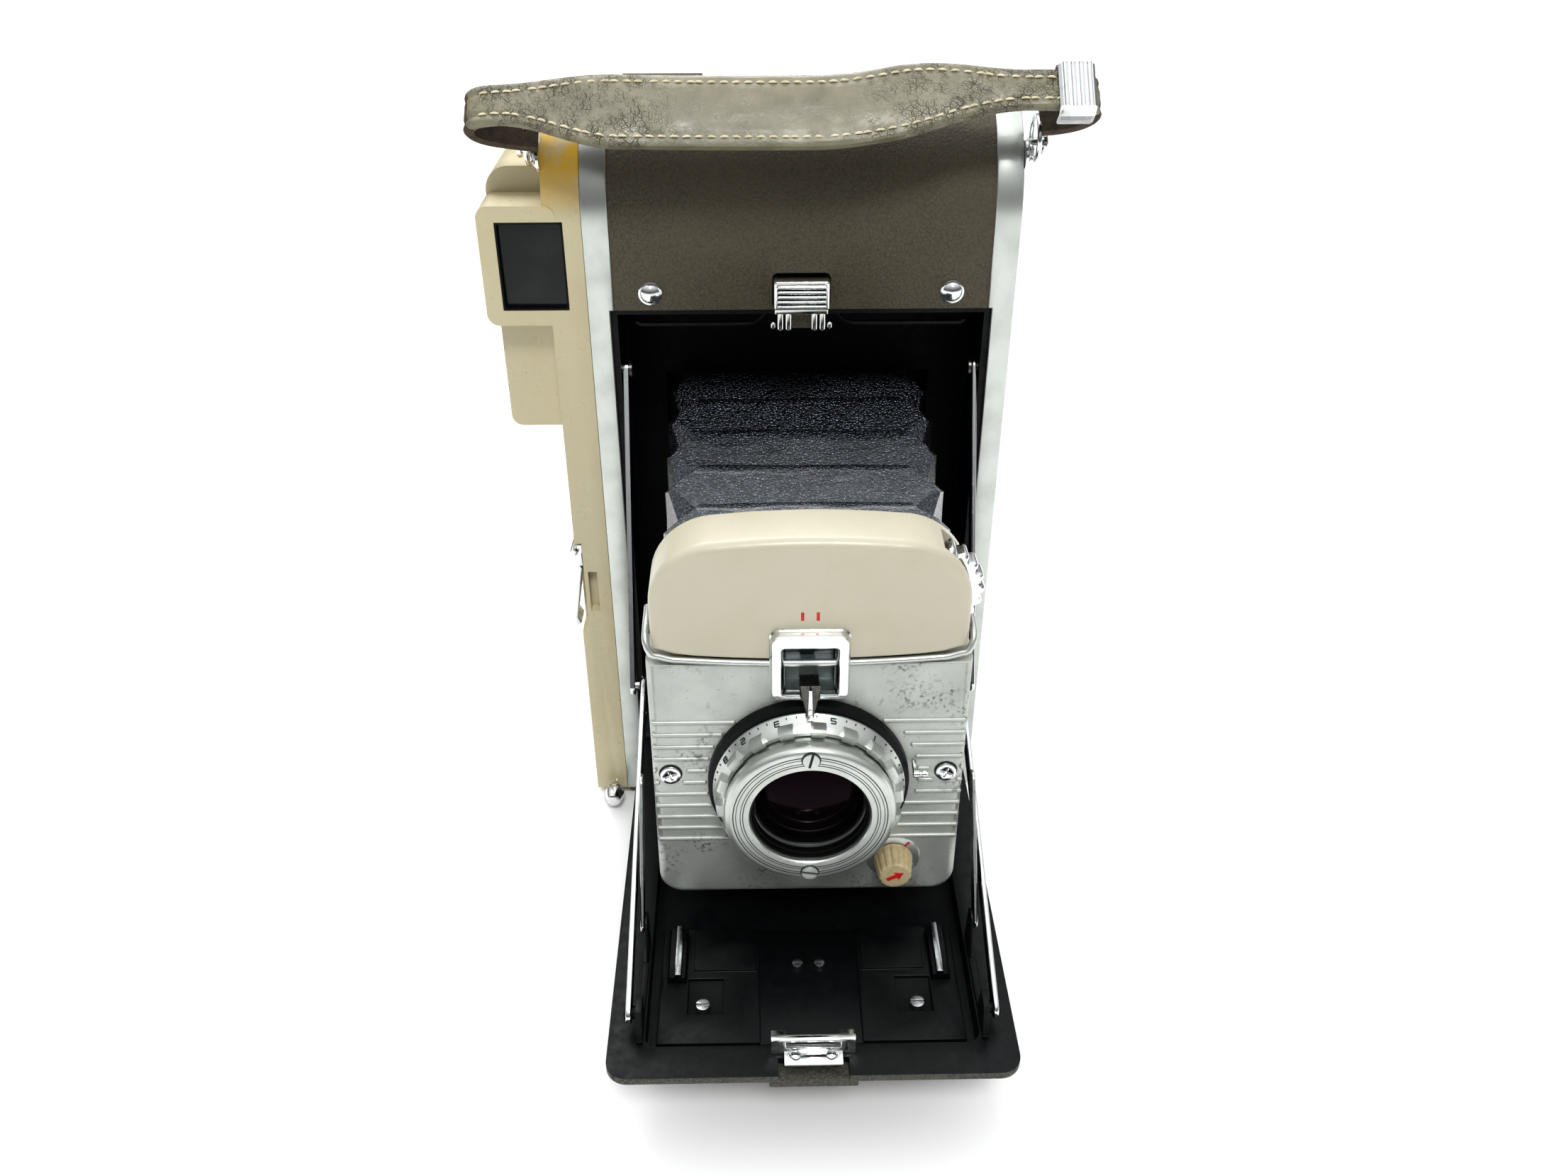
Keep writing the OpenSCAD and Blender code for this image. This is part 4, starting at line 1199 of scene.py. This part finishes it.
def exposure_wheel():
    low, high = span("exposure_wheel")
    x, z = (low.x + high.x) / 2, (low.z + high.z) / 2
    bm = bmesh.new()
    teeth = 20

    def scalloped(r, depth, y):
        angles = [tau * k / (teeth * 10) for k in range(teeth * 10)]
        return place([polar(x, z, r - depth * (0.5 - 0.5 * cos(teeth * a)) ** 1.4, a) for a in angles], y)

    half = [(10.2, 0.9, 0.0), (10.8, 1.1, 0.5), (10.9, 1.2, 1.1)]
    loft(bm, [scalloped(r, depth, low.y + y) for r, depth, y in half]
         + [scalloped(r, depth, high.y - y) for r, depth, y in reversed(half)])
    make("exposure_wheel_scalloped", bm, "ev_wheel", "chrome", "exposure_wheel")


exposure_wheel()


def shutter_lever():
    bm = bmesh.new()
    y, z = -106.6, 75
    pin = ((0.6, 24.0), (0.95, 24.2), (0.95, 25.4), (0.7, 25.6), (0.7, 26.0), (0.95, 26.2), (0.95, 27.2),
           (0.7, 27.4))
    loft(bm, [place_x(circle(y, z, r, 20), x) for r, x in pin])
    box_slab(bm, 24.1, 25.1, z - 0.8, z + 0.8, -102.75, y, 0.3, 0.1)
    make("shutter_lever_pin", bm, "release_lever", "chrome", "shutter_lever")


shutter_lever()

# ---- Back ----

refine("rear_cover", "panel", 0.6, 3)
refine("print_door", "panel")

# ---- Strap ----

# half the strap's width at its ends, and its own directions
STRAP_END = 4.6
ACROSS = Vector((0, sqrt(0.5), sqrt(0.5)))
OUT = Vector((0, -sqrt(0.5), sqrt(0.5)))


def strap_point(x, across, out):
    return Vector((x, 0, 0)) + LUG + ACROSS * across + OUT * out


def strap_half_width(x):
    """Half the strap's width: narrow ends and a broad middle."""
    widen = smoothstep((x + 68) / 26)
    narrow = 1 - smoothstep((x - 20) / 30)
    return STRAP_END + 4.1 * min(widen, narrow)


def strap_shift(x):
    """How far the strap's middle line wanders across it."""
    return -1.4 + 1.6 * smoothstep((-x - 40) / 30) + 4.4 * smoothstep((x - 2) / 38)


def carry_strap():
    left_loop = [(-60.5, 6.6), (-66, 7.2), (-71.5, 8.8), (-74.4, 11.4), (-74.3, 14.2), (-71, 16.4)]
    middle = [(-60, 17.2), (-40, 16.6), (-15, 16.0), (10, 16.0), (30, 16.6), (48, 17.4)]
    right_loop = [(60, 17.0), (64.6, 15.4), (65.8, 12.6), (63.5, 9.6), (59, 7.6), (54.6, 6.8)]
    path = curve_through([(x, 0, n) for x, n in left_loop + middle + right_loop], 0.9)
    bm = bmesh.new()
    loops = []
    outer_count, inner_count = 19, 7
    thick = 1.25
    on_top = []
    for i, p in enumerate(path):
        ahead = path[min(i + 1, len(path) - 1)]
        behind = path[max(i - 1, 0)]
        along = (ahead - behind).normalized()
        normal = Vector((-along.z, 0, along.x))
        w = strap_half_width(p.x) if p.z > 13 else STRAP_END
        c = strap_shift(p.x)
        crown = 0.7 * smoothstep((w - 5) / 4)
        ring = []
        for k in range(outer_count):
            s = 2 * k / (outer_count - 1) - 1
            edge = abs(s) * w
            lift = thick + crown * (1 - s * s)
            seam = exp(-((edge - (w - 2.0)) / 0.45) ** 2)
            lift -= 0.28 * seam
            if abs(s) > 0.93:
                lift -= 0.45
            lift += 0.25 * noise.noise(Vector((p.x * 0.12, s * 2, 3)))
            ring.append(strap_point(p.x + normal.x * lift, c + s * w, p.z + normal.z * lift))
        for k in range(inner_count):
            s = 1 - 2 * k / (inner_count - 1)
            drop = thick - 0.2
            ring.append(strap_point(p.x - normal.x * drop, c + s * (w - 0.15), p.z - normal.z * drop))
        loops.append(ring)
        on_top.append(p.z > 14.5)
    rings = loft(bm, loops)
    # raw leather on the loops at the ends and on the underside
    for ring in [ring for ring, top in zip(rings[:-1], on_top) if not top]:
        for v in ring:
            for f in v.link_faces:
                f.material_index = 1
    under = {v for ring in rings for v in ring[outer_count:]}
    for f in bm.faces:
        if all(v in under for v in f.verts):
            f.material_index = 1
    piece = make("carry_strap_leather", bm, "strap", "strap", "carry_strap", sharp=60, second="raw")

    # stitches along both edges of the top face
    bm = bmesh.new()
    top = [p for p in path if p.z > 14.8]
    pitch, length = 2.7, 1.95
    for side in (-1, 1):
        line = []
        for p in top:
            w = strap_half_width(p.x)
            crown = 0.7 * smoothstep((w - 5) / 4)
            s = side * (w - 2.0) / w
            line.append(strap_point(p.x, strap_shift(p.x) + s * w, p.z + thick + crown * (1 - s * s) - 0.12))
        travelled = 0.0
        for i in range(1, len(line)):
            travelled += (line[i] - line[i - 1]).length
            if travelled >= pitch:
                travelled -= pitch
                centre = line[i]
                along = (line[i] - line[i - 1]).normalized()
                along = (along + ACROSS * rng.uniform(-0.08, 0.08)).normalized()
                across = OUT.cross(along).normalized()
                loops = []
                for t, r in ((-0.5, 0.1), (-0.4, 0.22), (-0.15, 0.29), (0.15, 0.29), (0.4, 0.22), (0.5, 0.1)):
                    q = centre + along * (t * length) + OUT * (0.24 - 1.3 * t * t)
                    angles = [tau * k / 8 for k in range(8)]
                    loops.append([q + r * (across * cos(a) + OUT * 0.75 * sin(a)) for a in angles])
                loft(bm, loops)
    make("strap_stitches", bm, "strap", "thread")


carry_strap()


def strap_rings():
    bm = bmesh.new()
    low, high = span("strap_rings")
    for x in (low.x + 0.8, high.x - 0.8):
        tube(bm, [strap_point(x, across, out) for across, out in circle(0.0, 2.4, 5.0)], 0.6, closed=True)
    make("strap_rings_wire", bm, "strap", "chrome", "strap_rings")


strap_rings()


def strap_slide():
    bm = bmesh.new()
    c = strap_shift(60)
    x0, x1 = 56.6, 64.8
    half = 6.1
    section = ((x0, 0.0), (x0 + 0.6, 0.6), (x1 - 0.6, 0.6), (x1, 0.0), (x1 - 0.5, -0.8), (x0 + 0.5, -0.8))
    bend = ((-half, 14.4), (-half, 17.6), (-half + 0.9, 19.2), (half - 0.9, 19.2), (half, 17.6), (half, 14.4))
    loft(bm, [[strap_point(u, c + across, lift + n) for u, n in section] for across, lift in bend])
    for i in range(4):
        x = x0 + 1.4 + 1.8 * i
        steps = (-half + 0.7, -half / 2, half / 2, half - 0.7)
        tube(bm, [strap_point(x, c + a, 19.75) for a in steps], 0.55, 10)
    make("strap_slide_ribbed", bm, "strap", "chrome", "strap_slide")


strap_slide()

# ---- Stage and light ----


def stage():
    bm = bmesh.new()
    loft(bm, [[(u, v, z) for u, v in rounded_rect(-3000, 3000, -3000, 3000, 10)] for z in (-1, -0.05)])
    mesh = mesh_from("floor", bm)
    floor = add("floor", mesh)
    mesh.materials.append(Surface("floor_white", (0.9, 0.9, 0.895, 1), 0.6, Specular_IOR_Level=0.2).material)


stage()
world = bpy.data.worlds.new("studio")
bpy.context.scene.world = world
sky = Tree(world)
direction = sky.axes("Generated")
overhead = sky.level(direction["Z"], 0.2, 1.0, 0.2, 1.55)
front_dark = sky.level(direction["Y"], -0.7, 0.2, 0.6, 1.0)
background = sky.nodes["Background"]
background.inputs["Color"].default_value = (0.98, 0.99, 1.0, 1)
sky.links.new(sky.math("MULTIPLY", overhead, front_dark), background.inputs["Strength"])
sun = bpy.data.lights.new("sun", "SUN")
sun.energy = 1.45
sun.angle = radians(14)
add("sun", sun).rotation_euler = (radians(34), radians(4), 0)
# a soft light high behind the camera body, for bright rims
back = bpy.data.lights.new("back", "AREA")
back.shape = "RECTANGLE"
back.size, back.size_y = 0.5, 0.3
back.energy = 2.5
lamp = add("back", back)
lamp.location = (-0.1, 0.35, 0.7)
lamp.rotation_euler = (Vector((0, -0.04, 0.1)) - lamp.location).to_track_quat("-Z", "Y").to_euler()
bpy.context.scene.view_settings.view_transform = "Standard"
bpy.context.scene.view_settings.look = "Medium High Contrast"
